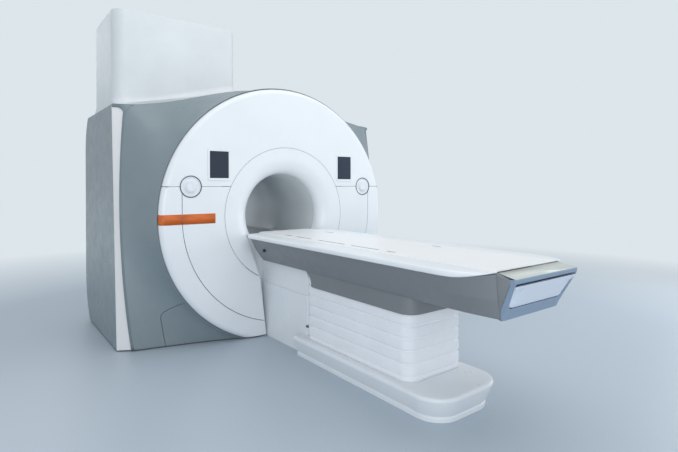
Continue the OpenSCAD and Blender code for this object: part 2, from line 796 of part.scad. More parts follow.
// The corner that an edge strip takes out of the roof, from above
module strip_clear() {
    w = half_w(shoulder_z) - strip_inset - 2;
    y = front_edge(shoulder_z) + cover_t + strip_gap;
    polygon([[w - 1, y - 100], [w - 1, y], [w, y], [side_w / 2 - 2, y + strip_depth],
        [side_w / 2 + 10, y + strip_depth], [side_w / 2 + 10, y - 100]]);
}

module rear_cover() color(body_grey) {
    angles = [for (i = [0:dome_steps - 1]) i * 360 / dome_steps];
    net_skin([for (a = angles, s = spread) dome_point(a, 1 - s, 0)],
        [for (a = angles, s = spread) dome_point(a, 1 - s, cover_t)], dome_steps, len(spread), true);
}

tower_t = 10;

module tower_cover() color(white) difference() {
    linear_extrude(tower_z) round_rect(tower_x0, tower_y0, tower_x1, tower_y1, tower_r);
    translate([0, 0, -1]) linear_extrude(tower_z - tower_t + 1)
        round_rect(tower_x0 + tower_t, tower_y0 + tower_t, tower_x1 - tower_t, tower_y1 - tower_t,
            tower_r - tower_t);
    translate([turret_x, turret_y, 0]) cylinder(r = pipe_r + fit, h = far);
    front_plate(-far, far) roof_shape(back_w, -fit);
}

bracket_w = 50;
bracket_y = [-300, 420];
bracket_z = [bore_z - 586, bore_z + 494];
low_bracket_x = disc_r - 310;
low_bracket_z = 40;

// The space in front of the flared front's back, with a margin
module before_flare() {
    ts = [for (i = [0:flare_steps]) i / flare_steps];
    net_skin([for (t = ts, s = spread) flare_point(t, s, cover_t + fit)],
        [for (t = ts, s = spread) let (p = flare_point(t, s, 0)) [p[0], -far, p[2]]],
        len(ts), len(spread), false);
}

module cover_brackets() color([0.35, 0.37, 0.4]) {
    on_vessel() for (x = [0, 1], y = bracket_y, z = bracket_z) mirror([x, 0, 0])
        block([0, y, z], [side_w / 2 - cover_t, y + bracket_w, z + bracket_w]);
    for (x = [0, 1]) mirror([x, 0, 0]) difference() {
        union() {
            block([low_bracket_x, face_y, low_bracket_z],
                [low_bracket_x + bracket_w, -anchor_y, low_bracket_z + bracket_w]);
            block([anchor_x - foot_in + foot_block[0] / 2, -anchor_y - bracket_w, low_bracket_z],
                [low_bracket_x + 1, -anchor_y, low_bracket_z + bracket_w]);
        }
        before_flare();
    }
}

// Table: pedestal, plinth and lift

dock_t = 6;
dock_head = face_y + recess_depth - cover_t - fit;
dock_gap = 0.8;

module dock_pedestal() color(white) difference() {
    block([-dock_w, dock_foot, 0], [dock_w, dock_head, dock_z]);
    block([-dock_w + dock_t, dock_foot + dock_t, -1], [dock_w - dock_t, dock_head - dock_t, dock_z + 1]);
}

frame_bottom = 750;
slide_overlap = 35;

module dock_slide() color(white) {
    w = dock_w - dock_t - dock_gap;
    y0 = dock_foot + dock_t + dock_gap;
    y1 = face_y - 18;
    difference() {
        block([-w, y0, dock_z - slide_overlap], [w, y1, frame_bottom]);
        block([-w + 5, y0 + 5, dock_z - slide_overlap - 1], [w - 5, y1 - 5, frame_bottom - 5]);
    }
}

plinth_head = dock_foot + 70;
plinth_t = 8;
plinth_r = 150;

// The plinth's outline from above, grown by a margin
module plinth_outline(m) {
    r = plinth_r;
    translate([-plinth_w - m, plinth_foot - m + r]) square([2 * (plinth_w + m), plinth_head - plinth_foot + m - r]);
    translate([-plinth_w - m + r, plinth_foot - m]) square([2 * (plinth_w + m - r), 2 * r]);
    for (s = [-1, 1]) translate([s * (plinth_w + m - r), plinth_foot - m + r]) circle(r);
}

module plinth_body(m, z0, z1) {
    n = 6;
    for (i = [0:n - 1]) let (a = z0 + (z1 - z0) * i / n, b = z0 + (z1 - z0) * (i + 1) / n)
        translate([0, 0, a]) linear_extrude(b - a) plinth_outline(m + plinth_flare * (i + 1) / n);
}

module plinth_cover() color(white) difference() {
    union() {
        linear_extrude(30) plinth_outline(4);
        plinth_body(0, 30, plinth_h);
    }
    translate([0, 0, -1]) linear_extrude(plinth_h - plinth_t + 1) plinth_outline(-plinth_t);
    block([-dock_w - 2, dock_foot - 2, -1], [dock_w + 2, plinth_head + 1, plinth_h + 1]);
    translate([0, 0, plinth_h - plinth_t - 1]) linear_extrude(far) bellows_outline(24);
}

column_y = (bellows_head + bellows_foot) / 2;
column_w = [180, 150];
column_t = 12;
base_t = 16;
base_in = 40;
base_l = 960;
base_anchor_x = 170;
base_anchor_y = 420;
base_anchor_d = 18;

module base_plate() color(steel) difference() {
    block([-plinth_w + base_in, column_y - base_l / 2, 0], [plinth_w - base_in, column_y + base_l / 2, base_t]);
    for (x = [-1, 1], y = [-1, 1]) translate([x * base_anchor_x, column_y + y * base_anchor_y, -1])
        cylinder(d = base_anchor_d, h = base_t + 2);
}

ram_bottom = base_t + lift_travel + 20;
column_top = ram_bottom + 50;
bellows_collar = 25;
fold_n = 7;
bellows_low = plinth_h + fit;
bellows_top = bellows_low + bellows_collar + fold_n * fold_h;

module rect_tube(w, t, z0, z1) {
    translate([0, column_y, z0]) linear_extrude(z1 - z0) difference() {
        square(w, center = true);
        square(w - 2 * [t, t], center = true);
    }
}

module lift_column() color(steel) {
    rect_tube(column_w, column_t, base_t, column_top);
    for (x = [-1, 1]) translate([x * (column_w[0] / 2 + 5), column_y, base_t + 30])
        cube([10, column_w[1], 60], center = true);
}

module lift_ram() color("silver") {
    w = column_w - 2 * [column_t + slack, column_t + slack];
    rect_tube(w, 8, ram_bottom, bellows_top);
}

// The bellows' outline from above, drawn in by a margin
module bellows_outline(m) {
    r = bellows_r;
    round_rect(-bellows_w + m, bellows_foot + m, bellows_w - m, bellows_head - m, r);
}

bellows_r = 80;
groove_h = 10;
groove_d = 10;

module bellows() color(white) difference() {
    union() {
        translate([0, 0, bellows_low]) linear_extrude(bellows_collar) bellows_outline(3);
        for (i = [0:fold_n - 1]) translate([0, 0, bellows_low + bellows_collar + i * fold_h]) {
            linear_extrude(groove_h) bellows_outline(groove_d);
            translate([0, 0, groove_h]) linear_extrude(fold_h - groove_h) bellows_outline(0);
        }
    }
    linear_extrude(far) bellows_outline(20);
}

// Table: frame, housing and drive

beam_x0 = 225;
beam_x1 = 265;
beam_deep_z = 690;
member_top = 722;
deck_z = 800;
deck_t = 12;
roller_r = 32;
roller_x = 175;
roller_w = 80;
roller_z = top_z - top_t - fit - roller_r;
axle_r = 6;
roller_front_y = -1080;
roller_rear_y = -2600;
pulley_r = 38;
belt_t = 2;
belt_w = 30;
belt_top = top_z - top_t - 14;
pulley_z = belt_top - belt_t - pulley_r;
belt_spare = 220;
idler_r = 15;
idler_z = belt_top - belt_t - idler_r;
idler_y = -980;
pulley_y = idler_y - slide_travel - belt_spare;
frame_head = face_y - 35;
frame_foot = top_foot + 116;

module table_frame() color([0.3, 0.32, 0.35]) difference() {
    union() {
        for (s = [0, 1]) mirror([s, 0, 0]) {
            block([beam_x0, frame_foot, frame_bottom], [beam_x1, frame_head, deck_z]);
            block([beam_x0, frame_foot, beam_deep_z], [beam_x1, dock_foot - 60, frame_bottom + 1]);
            block([22, pulley_y - 20, beam_deep_z], [30, pulley_y + 61, deck_z - 2]);
            block([60, pulley_y + 60, beam_deep_z], [beam_x0 + 1, pulley_y + 80, deck_z - 10]);
            block([22, idler_y - 50, frame_bottom], [30, idler_y + 20, deck_z - 2]);
        }
        block([-beam_x0 - 1, frame_head - 20, frame_bottom], [beam_x0 + 1, frame_head, deck_z]);
        for (y = [frame_foot, pulley_y + 60, column_y - 120, column_y + 100])
            block([-beam_x0 - 1, y, beam_deep_z], [beam_x0 + 1, y + 20, member_top]);
        block([-beam_x0 - 1, idler_y - 50, frame_bottom], [beam_x0 + 1, idler_y - 30, deck_z - 30]);
        translate([0, 0, bellows_top]) linear_extrude(12) difference() {
            bellows_outline(2);
            translate([0, column_y]) square([80, 60], center = true);
        }
    }
    for (y = [roller_front_y, roller_rear_y]) cross_rod(axle_r + fit, -beam_x1 - 1, beam_x1 + 1, y, roller_z);
    cross_rod(axle_r + fit, -40, 40, pulley_y, pulley_z);
    cross_rod(axle_r + fit, -40, 40, idler_y, idler_z);
}

rim_low = 830;
deck_w = 350;

// The table's outline from above, drawn in by a margin
module table_outline(m, foot, head) {
    side = [for (a = [0:15:90]) [rim_end_w - m + (rim_w - rim_end_w) * sin(a), foot + 266 * (1 - cos(a))]];
    polygon(concat(side, arc([rim_w - m - 65, head - 65], 65, 0, 90, 6),
        arc([-rim_w + m + 65, head - 65], 65, 90, 180, 6),
        [for (i = [len(side) - 1:-1:0]) [-side[i][0], side[i][1]]]));
}

rim_head = face_y - 15;

module table_rim() color(white) difference() {
    union() {
        translate([0, 0, rim_low]) linear_extrude(top_z - 9 - rim_low) table_outline(0, top_foot, rim_head);
        translate([0, 0, top_z - 10]) linear_extrude(7) table_outline(4, top_foot, rim_head);
        translate([0, 0, deck_z]) linear_extrude(rim_low - deck_z + 1)
            table_outline(rim_w - deck_w, top_foot + 90, rim_head - 16);
    }
    block([-top_w - 2, top_foot - 1, deck_z + deck_t], [top_w + 2, face_y, far]);
    for (x = [-1, 1], y = [roller_front_y, roller_rear_y])
        block([x * roller_x - roller_w / 2 - 4, y - roller_r - 4, deck_z - 1],
            [x * roller_x + roller_w / 2 + 4, y + roller_r + 4, far]);
    block([-22, pulley_y - 60, deck_z - 1], [22, idler_y + 40, far]);
}

housing_top = rim_low - 0.5;

// A thin slice of the housing at one depth, with a half width for its top
module housing_slice(y, w, low_w, m) {
    for (p = [[w - m, housing_top + 2 * m], [w - (w - low_w) * 0.42 - m, 735], [low_w - m, housing_z + m]])
        translate([-p[0], y, p[1]]) cube([2 * p[0], eps, eps]);
}

module housing_shape(m) {
    hull() {
        housing_slice(face_y - 15 - m, rim_w - 70, housing_low_w - 30, m);
        housing_slice(face_y - 75, housing_w, housing_low_w, m);
        housing_slice(top_foot + 266, housing_w, housing_low_w, m);
        housing_slice(top_foot + 150, housing_w - 28, housing_low_w - 6, m);
        housing_slice(top_foot + 60, housing_w - 72, housing_low_w - 18, m);
        housing_slice(top_foot + 1 + m, rim_end_w + 2, housing_low_w - 32, m);
    }
}

skirt_head = bellows_head - 40;
skirt_foot = bellows_foot - 22;
skirt_fillet = 100;
skirt_r = 90;

module skirt_side() {
    polygon(concat([[skirt_foot, housing_z + 1], [skirt_foot, skirt_z], [skirt_head, skirt_z]],
        arc([skirt_head + skirt_fillet, housing_z - skirt_fillet], skirt_fillet, 180, 90, 8),
        [[skirt_head + skirt_fillet, housing_z + 1]]));
}

module table_housing() color(table_grey) {
    difference() {
        housing_shape(0);
        housing_shape(cover_t);
        block([-housing_low_w + 14, skirt_foot + cover_t, 0], [housing_low_w - 14, face_y, housing_z + cover_t + 1]);
        block([-dock_w - 3, dock_foot - 3, 0], [dock_w + 3, face_y, frame_bottom]);
        translate([0, 0, housing_top]) linear_extrude(far) table_outline(-50, top_foot - 50, 0);
        block([-top_w - 2, -far, top_z - top_t - 2], [top_w + 2, far, far]);
        for (s = [0, 1]) mirror([s, 0, 0]) cross_rod(14, 200, 500, -1136, 750);
    }
    difference() {
        intersection() {
            linear_extrude(far) round_rect(-skirt_w, skirt_foot, skirt_w, skirt_head + 3 * skirt_fillet, skirt_r);
            side_plate(-skirt_w, skirt_w) skirt_side();
        }
        linear_extrude(far) round_rect(-skirt_w + cover_t, skirt_foot + cover_t, skirt_w - cover_t,
            skirt_head + 4 * skirt_fillet, skirt_r - cover_t);
    }
}

cap_ridge_z = 842;
slit_z = 815;
handle_low = [-3178, 693];
cap_low = [-3152, 634];

// The end cap seen from the side
module cap_side() {
    polygon([[top_foot - fit, top_z - 5], [cap_end, cap_ridge_z], [cap_end - 2, cap_ridge_z - 8],
        [cap_end + 2, slit_z], [handle_low[0], handle_low[1]], [handle_low[0] + 12, handle_low[1] - 25],
        cap_low, [top_foot - fit, cap_low[1] + 2]]);
}

handle_w = [261, 226];
handle_gap = 0.8;
handle_end_gap = 2.5;
hinge = [handle_low[0] + 1, handle_low[1] + 12];
hinge_r = 8;

// The handle's panel with its hinge barrel, grown by a margin for its pocket, and more at its ends
module handle_panel(m, e) {
    intersection() {
        side_plate(-far, far) hull() {
            translate(hinge) circle(hinge_r + m);
            polygon([[cap_end - 1 - 5 * m, slit_z - 6 + 6 * m], [cap_end + 18 + 3 * m, slit_z - 6 + 6 * m],
                [cap_end - 1 - 5 * m, slit_z - 7]]);
        }
        front_plate(cap_end - 50, top_foot) polygon([[-handle_w[0] - e, slit_z], [handle_w[0] + e, slit_z],
            [handle_w[1] + e, hinge[1] - hinge_r - 2 * m], [-handle_w[1] - e, hinge[1] - hinge_r - 2 * m]]);
    }
}

module foot_cap() color([0.62, 0.68, 0.74]) difference() {
    intersection() {
        side_plate(-rim_end_w, rim_end_w) cap_side();
        front_plate(cap_end - 10, top_foot) polygon([[-rim_end_w, top_z], [rim_end_w, top_z],
            [rim_end_w, slit_z], [housing_low_w - 34, 600], [-housing_low_w + 34, 600], [-rim_end_w, slit_z]]);
    }
    handle_panel(handle_gap, handle_end_gap);
}

module release_handle() color(white) handle_panel(0, 0);

module travel_motor() color(dark) difference() {
    union() {
        cross_rod(33, 31, 190, pulley_y, pulley_z);
        block([60, pulley_y, pulley_z - 20], [180, pulley_y + 60 - fit, pulley_z + 20]);
    }
    cross_rod(axle_r + fit, 0, 45, pulley_y, pulley_z);
}

module pulley(r, y, z) color("silver") {
    cross_rod(r, -belt_w / 2 - 2, belt_w / 2 + 2, y, z);
    cross_rod(axle_r, -38, 38, y, z);
}

module drive_pulley() pulley(pulley_r - fit, pulley_y, pulley_z);
module idler_pulley() pulley(idler_r - fit, idler_y, idler_z);

module belt_loop(grow) {
    hull() {
        translate([pulley_y, pulley_z]) circle(pulley_r + grow);
        translate([idler_y, idler_z]) circle(idler_r + grow);
    }
}

module drive_belt() color(dark) side_plate(-belt_w / 2, belt_w / 2) difference() {
    belt_loop(belt_t);
    belt_loop(0);
}

module roller(y) color([0.25, 0.26, 0.28]) {
    for (x = [-1, 1]) cross_rod(roller_r, x * roller_x - roller_w / 2, x * roller_x + roller_w / 2, y, roller_z);
    cross_rod(axle_r, -beam_x1, beam_x1, y, roller_z);
}

module roller_front() roller(roller_front_y);
module roller_rear() roller(roller_rear_y);

socket_x = 198;
socket_w = 12;
socket_d = 12;
socket_spans = [[-1275, -1170], [-1540, -1340], [-1938, -1630], [-2271, -2005], [-2419, -2346]];

module tabletop() color(white) difference() {
    union() {
        translate([0, 0, top_z - top_t]) linear_extrude(top_t)
            round_rect(-top_w, top_foot + 2, top_w, top_head, 60);
        translate([0, 0, top_z - top_t]) linear_extrude(top_t)
            translate([-top_w, top_foot + 2]) square([2 * top_w, 100]);
    }
    sockets(0, far);
}

// The row of coil sockets along both edges, drawn in by a margin
module sockets(m, z1) {
    for (s = [-1, 1], p = socket_spans)
        block([s * socket_x - socket_w / 2 + m, p[0] + m, top_z - socket_d + m],
            [s * socket_x + socket_w / 2 - m, p[1] - m, z1]);
}

clamp_w = 24;
clamp_y = [60, 140];

// The sockets' covers, and the clamp that ties the sliding top to its belt
module top_fittings() color(dark) {
    sockets(fit, top_z - 1);
    block([-clamp_w / 2, pulley_y + clamp_y[0], belt_top + fit],
        [clamp_w / 2, pulley_y + clamp_y[1], top_z - top_t - fit]);
}

magnet_vessel();
radiation_shield();
helium_vessel();
magnet_coils();
suspension_rods();
service_turret();
cold_head();
quench_pipe();
magnet_feet();
cover_brackets();
gradient_coil();
body_coil();
bore_liner();
bore_rails();
front_frame();
rear_frame();
front_cover_upper();
front_cover_left();
front_cover_right();
rim_cover_left();
rim_cover_right();
front_funnel();
rear_funnel();
dock_recess();
accent_stripe();
surround_left();
surround_right();
service_panels();
trim_strips();
side_panels();
top_cover();
rear_cover();
tower_cover();
display_bezels();
display_screens();
control_rings();
control_dial_left();
control_dial_right();
control_button_left();
control_button_right();
dock_pedestal();
dock_slide();
plinth_cover();
base_plate();
lift_column();
lift_ram();
bellows();
table_frame();
table_housing();
table_rim();
foot_cap();
release_handle();
travel_motor();
drive_pulley();
idler_pulley();
drive_belt();
roller_front();
roller_rear();
tabletop();
top_fittings();
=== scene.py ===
"""Looks of a whole-body magnetic resonance scanner with its rising patient table."""

import math

import bmesh
import bpy
import numpy as np
from bpy.props import FloatProperty, FloatVectorProperty, PointerProperty
from mathutils import Matrix, Vector


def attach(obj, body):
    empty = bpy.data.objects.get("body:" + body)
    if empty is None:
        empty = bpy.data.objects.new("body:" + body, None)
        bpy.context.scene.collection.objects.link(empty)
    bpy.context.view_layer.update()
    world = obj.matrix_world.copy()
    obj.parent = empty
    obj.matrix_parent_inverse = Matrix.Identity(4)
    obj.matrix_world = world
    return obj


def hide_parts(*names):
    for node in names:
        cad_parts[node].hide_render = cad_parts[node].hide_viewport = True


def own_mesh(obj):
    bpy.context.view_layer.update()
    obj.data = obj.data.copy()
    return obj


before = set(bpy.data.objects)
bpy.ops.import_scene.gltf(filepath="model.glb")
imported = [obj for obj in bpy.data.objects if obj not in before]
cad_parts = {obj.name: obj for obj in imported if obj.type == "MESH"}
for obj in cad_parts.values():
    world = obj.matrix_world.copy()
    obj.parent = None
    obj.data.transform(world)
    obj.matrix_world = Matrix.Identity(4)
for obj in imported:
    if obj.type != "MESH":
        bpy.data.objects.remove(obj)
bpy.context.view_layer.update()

bl_info = {
    "name": "Resonance scanner",
    "version": (1, 0, 0),
    "blender": (4, 5, 0),
    "location": "View3D > Sidebar > Scanner",
    "description": "Dresses the packed scanner with fine covers, table and finishes",
    "category": "Object",
}

# The scanner's own shape, in metres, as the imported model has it. The words W stand for half widths.
BORE_Z = 1.006
FACE = -0.875
REAR = 0.875
DISC_R = 1.070
RIM = 0.045
SEAM = 0.004
WALL = 0.008
SHOULDER = 1.885
CROWN = 0.230
CROWN_W = 1.250
BODY_W = 1.250
SIDE_W = 1.290
BACK_W = 1.2815
WAIST = 0.063
SQUARENESS = 24
SUNK = 0.08
FLOOR_GAP = 0.010
MOUTH_R = 0.570
STRIP_DEPTH = 0.065
FRONT_FOOT = -0.605
FRONT_LEAN = 0.135
REAR_EDGE = 0.715
FLARE = 0.74
EDGE_ROLL = 0.0082
BEAD_BEND = 0.055
BEAD_DROP = 0.012
DIAL_X = 0.840
SEAM_Z = 1.245
DISPLAY = (0.615, 1.416)
DISPLAY_HALF = (0.0772, 0.1047)
TOP_W = 0.262
TOP_FOOT = -3.146
TOP_HEAD = -0.810
RIM_W = 0.407
RIM_END_W = 0.271
RIM_INNER = 0.2645
RIM_TOP = 0.862
RIM_LOW = 0.830
RIM_HEAD = FACE - 0.015
RIM_SWEEP = 0.266
RIM_CORNER = 0.065
HOUSING_Z = 0.640
COLUMN_Y = -2.0385
PEDESTAL_TOP = 0.44
CAP_SHOULDER = 0.018
CAP_BACK = -3.1495
POCKET_LOW = 0.6936
POCKET_HIGH = 0.8195
HANDLE_LOW = 0.6972
HANDLE_HIGH = 0.8092
BACKDROP = (0.72, 0.79, 0.83, 1.0)
SIDES = ((1, "right"), (-1, "left"))


# Shapes


def half_width(z):
    """Half width of the grey body's front at a height."""
    return BODY_W - WAIST * ((z - BORE_Z) / BORE_Z) ** 2


def roof_height(x):
    """Height of the roof at a distance from the middle."""
    return SHOULDER + CROWN * np.cos(np.pi / 2 * np.minimum(np.abs(x) / CROWN_W, 1)) ** 2


def outline_radius(angle, wide):
    """Distance from the bore's centre line to the body's outline in a direction."""
    low, high = np.full_like(angle, 1.08), np.full_like(angle, 1.78)
    for _ in range(22):
        middle = (low + high) / 2
        x, z = middle * np.sin(angle), BORE_Z + middle * np.cos(angle)
        w = BACK_W if wide else half_width(z)
        up = np.clip((z - BORE_Z) / (roof_height(x) - BORE_Z), 0, 2)
        down = np.clip((BORE_Z - z) / (BORE_Z + SUNK), 0, 2)
        inside = (np.abs(x) / w) ** SQUARENESS + np.where(z > BORE_Z, up, down) ** SQUARENESS < 1
        low, high = np.where(inside, middle, low), np.where(inside, high, middle)
    return (low + high) / 2


def front_edge(z):
    """Depth of the body's front edge at a height."""
    return FRONT_FOOT + FRONT_LEAN * np.clip(z, 0, SHOULDER) / SHOULDER


def rear_edge(z):
    """Depth of the body's rear edge at a height: drawn in at the foot and near the shoulder."""
    h = np.clip(z, 0, SHOULDER)
    low = 0.195 * (1 - np.minimum(h, 0.54) / 0.54) ** 3
    return REAR_EDGE - low - 0.130 * (np.maximum(h - 1.5, 0) / (SHOULDER - 1.5)) ** 3


def flare_grid(rows, columns):
    """Points of the right half of the flared front, from the round cover out to the body's edge."""
    t = np.linspace(0, 1, rows)[:, None]
    s = np.linspace(0, 1, columns)[None, :] ** 1.5
    start = math.asin(SEAM / 4 / DISC_R)
    rim_end = math.acos((FLOOR_GAP - BORE_Z) / (DISC_R + SEAM))
    down = (BORE_Z - FLOOR_GAP) / (BORE_Z + SUNK)
    floor_w = half_width(FLOOR_GAP) * (1 - down**SQUARENESS) ** (1 / SQUARENESS)
    edge_end = math.atan2(floor_w, FLOOR_GAP - BORE_Z)
    a0, a1 = start + (rim_end - start) * t, start + (edge_end - start) * t
    r0, r1 = DISC_R + SEAM, outline_radius(a1, False)
    x0, z0 = r0 * np.sin(a0), BORE_Z + r0 * np.cos(a0)
    x1, z1 = r1 * np.sin(a1), BORE_Z + r1 * np.cos(a1)
    y0, y1 = FACE + RIM, front_edge(z1)
    slope = (y1 - y0) * FLARE
    length = np.sqrt((x1 - x0) ** 2 + (z1 - z0) ** 2 + slope**2)
    s = s * (1 - EDGE_ROLL / length)
    face = np.stack([x0 + (x1 - x0) * s, y0 + (y1 - y0) * s**FLARE, z0 + (z1 - z0) * s], -1)
    tip = np.stack([x1, y1, z1], -1)
    u = np.linspace(0, 1, 7)[1:][None, :, None]
    start, end = face[:, -1:], tip + np.array([0, EDGE_ROLL, 0])
    roll = (1 - u) ** 2 * start + 2 * u * (1 - u) * tip + u**2 * end
    return np.concatenate([face, roll], 1)


def dome_grid(columns, rows):
    """Points of the domed rear, round the bore and out to the rear edge or the floor."""
    a = np.linspace(0, 2 * np.pi, columns, endpoint=False)[:, None]
    s = np.linspace(0, 1, rows)[None, :]
    r0, r1 = MOUTH_R + SEAM / 2, outline_radius(a, True)
    floor_r = (FLOOR_GAP - BORE_Z) / np.where(np.cos(a) < -0.1, np.cos(a), -1)
    end = np.where(np.cos(a) < -0.1, np.minimum(r1, floor_r), r1)
    r = r0 + (end - r0) * s
    y1 = rear_edge(BORE_Z + r1 * np.cos(a))
    y = REAR - (REAR - y1) * ((r - r0) / (r1 - r0)) ** 5
    return np.stack([r * np.sin(a), y, BORE_Z + r * np.cos(a)], -1)


def strip_depth(x, z):
    """Depth of an edge strip's face at a distance from the middle and a height."""
    w = half_width(z)
    return front_edge(z) + STRIP_DEPTH * min(max((x - w) / (SIDE_W - w), 0), 1)


def bead_side(z):
    """Distance from the middle of the bead's centre line at a height."""
    w, top = half_width(z), SHOULDER - BEAD_DROP
    if z < top - BEAD_BEND:
        return w
    if z >= top:
        return SIDE_W
    return w + BEAD_BEND * (1 - math.sqrt(1 - ((z - top + BEAD_BEND) / BEAD_BEND) ** 2))


def rim_width(y):
    """Half width of the table's rim at a depth."""
    if y < TOP_FOOT + RIM_SWEEP:
        c = 1 - max(y - TOP_FOOT, 0) / RIM_SWEEP
        return RIM_END_W + (RIM_W - RIM_END_W) * math.sqrt(max(1 - c * c, 0))
    if y > RIM_HEAD - RIM_CORNER:
        return RIM_W - RIM_CORNER + math.sqrt(max(RIM_CORNER**2 - (y - RIM_HEAD + RIM_CORNER) ** 2, 0))
    return RIM_W


def rim_low(y):
    """Height of the lower edge of the table's rim at a depth: it rises toward the end cap."""
    return RIM_LOW + 0.0285 * min(max((-2.975 - y) / 0.168, 0), 1) ** 1.6


def cap_width(z):
    """Half width of the end cap at a height."""
    return RIM_END_W - 0.2 * max(0.815 - z, 0)


def corner_inset(d, r):
    """How far a rounded corner draws in at a distance from its edge."""
    return r - math.sqrt(max(r * r - max(r - d, 0) ** 2, 0))


# Mesh helpers


def arc(centre, radius, start, end, steps):
    """Points of an arc from one angle to another, in degrees."""
    angles = turns(start, end, steps + 1)
    return [(centre[0] + radius * math.cos(a), centre[1] + radius * math.sin(a)) for a in angles]


def rounded(corners, radii, steps=6, closed=True):
    """A polygon with its corners turned into arcs."""
    points, n = [], len(corners)
    for i, corner in enumerate(corners):
        p, r = Vector(corner), radii[i] if hasattr(radii, "__len__") else radii
        if r <= 0 or (not closed and i in (0, n - 1)):
            points.append(tuple(p))
            continue
        a, b = Vector(corners[i - 1]) - p, Vector(corners[(i + 1) % n]) - p
        half = a.angle(b) / 2
        if half > 1.569:
            points.append(tuple(p))
            continue
        reach = min(r / math.tan(half), 0.49 * a.length, 0.49 * b.length)
        r = reach * math.tan(half)
        start, end = p + a.normalized() * reach, p + b.normalized() * reach
        centre = p + (a.normalized() + b.normalized()).normalized() * (r / math.sin(half))
        turn = (start - centre).angle(end - centre)
        for k in range(steps + 1):
            u = k / steps
            d = (start - centre) * math.sin((1 - u) * turn) + (end - centre) * math.sin(u * turn)
            points.append(tuple(centre + d / math.sin(turn)))
    return points


def turns(start, end, count):
    """Evenly spaced angles from one to another, given in degrees."""
    return np.radians(np.linspace(start, end, count))


def rectangle(x, y):
    """Corners of a rectangle between two values on each axis."""
    return [(x[0], y[0]), (x[1], y[0]), (x[1], y[1]), (x[0], y[1])]


def box_ring(x, y0, y1, radius, steps=10):
    """A rounded rectangle seen from above, as wide as x on both sides of the middle."""
    return rounded(rectangle((-x, x), (y0, y1)), radius, steps)


def at_height(plan, z, side=1):
    """A plan put at a height, mirrored where side is -1."""
    return [(side * x, y, z) for x, y in plan]


def loft(rings, closed=True, caps=True):
    """Points and faces of a skin through rings that have the same number of points."""
    n = len(rings[0])
    points = [p for ring in rings for p in ring]
    faces = []
    for i in range(len(rings) - 1):
        for j in range(n if closed else n - 1):
            k = (j + 1) % n
            faces.append((i * n + j, i * n + k, (i + 1) * n + k, (i + 1) * n + j))
    if caps:
        last = (len(rings) - 1) * n
        faces += [tuple(range(n - 1, -1, -1)), tuple(last + j for j in range(n))]
    return points, faces


def shell(grid, thickness, around=False):
    """A closed sheet of some thickness behind a grid of points."""
    du = np.gradient(grid, axis=0)
    if around:
        du = (np.roll(grid, -1, 0) - np.roll(grid, 1, 0)) / 2
    dv = np.gradient(grid, axis=1)
    normal = np.cross(du, dv)
    normal /= np.maximum(np.linalg.norm(normal, axis=2, keepdims=True), 1e-12)
    back = grid + normal * thickness
    n, m = grid.shape[:2]
    points = [tuple(p) for p in np.concatenate([grid.reshape(-1, 3), back.reshape(-1, 3)])]
    faces, b = [], n * m
    for i in range(n if around else n - 1):
        h = (i + 1) % n
        for j in range(m - 1):
            q = (i * m + j, h * m + j, h * m + j + 1, i * m + j + 1)
            faces += [q, tuple(k + b for k in reversed(q))]
        for j, flip in ((0, 1), (m - 1, -1)):
            faces.append((i * m + j, h * m + j, h * m + j + b, i * m + j + b)[::flip])
    if not around:
        for i, flip in ((0, -1), (n - 1, 1)):
            for j in range(m - 1):
                faces.append((i * m + j, i * m + j + 1, i * m + j + 1 + b, i * m + j + b)[::flip])
    return points, faces


def spun(profile, segments=96, centre=(0, 0)):
    """A profile of radius and height turned round an upright axis."""
    (cx, cy), angles = centre, [2 * math.pi * k / segments for k in range(segments)]
    return loft([[(cx + r * math.cos(a), cy + r * math.sin(a), z) for a in angles] for r, z in profile])


def closed_spin(profile):
    """A closed profile of radius and height turned round an upright axis."""
    angles = [2 * math.pi * k / 96 for k in range(96)]
    rings = [[(r * math.cos(a), r * math.sin(a), z) for r, z in profile] for a in angles]
    return loft(rings + [rings[0]], True, False)


def prism(outline, y0, y1):
    """An outline seen from the front, carried between two depths."""
    return loft([[(x, y, z) for x, z in outline] for y in (y0, y1)])


def crosswise(profile, xs):
    """A profile seen from the side, carried between two distances from the middle."""
    return loft([[(x, y, z) for y, z in profile] for x in xs])


def upright(plan, zs):
    """A plan carried between two heights."""
    return loft([at_height(plan, z) for z in zs])


def block(x, y, z):
    """A box between two values on each axis."""
    return upright(rectangle(x, y), z)


def gathered(shapes):
    """Several shapes as one."""
    points, faces = [], []
    for p, f in shapes:
        faces += [tuple(len(points) + i for i in face) for face in f]
        points += p
    return points, faces


def moved(shape, matrix):
    """A shape turned and moved by a matrix."""
    return [tuple(matrix @ Vector(p)) for p in shape[0]], shape[1]


def grown(outline, margin):
    """An outline drawn in or out by a margin, about its middle."""
    points = [Vector(p) for p in outline]
    made, n = [], len(points)
    for i in range(n):
        a, b = points[i] - points[i - 1], points[(i + 1) % n] - points[i]
        normal = Vector((a.y, -a.x)).normalized() + Vector((b.y, -b.x)).normalized()
        made.append(tuple(points[i] + normal.normalized() * margin))
    return made


def solid(name, shape, at=None, joined=True):
    """A new object from points and faces, with its faces turned outwards."""
    points, faces = shape
    mesh = bpy.data.meshes.new(name)
    mesh.from_pydata([tuple(float(c) for c in p) for p in points], [], faces)
    work = bmesh.new()
    work.from_mesh(mesh)
    if joined:
        bmesh.ops.remove_doubles(work, verts=work.verts, dist=1e-6)
        bmesh.ops.dissolve_degenerate(work, edges=work.edges, dist=1e-7)
    bmesh.ops.recalc_face_normals(work, faces=work.faces)
    if at is not None:
        work.transform(at)
    work.to_mesh(mesh)
    work.free()
    made = bpy.data.objects.new(name, mesh)
    bpy.context.scene.collection.objects.link(made)
    return made


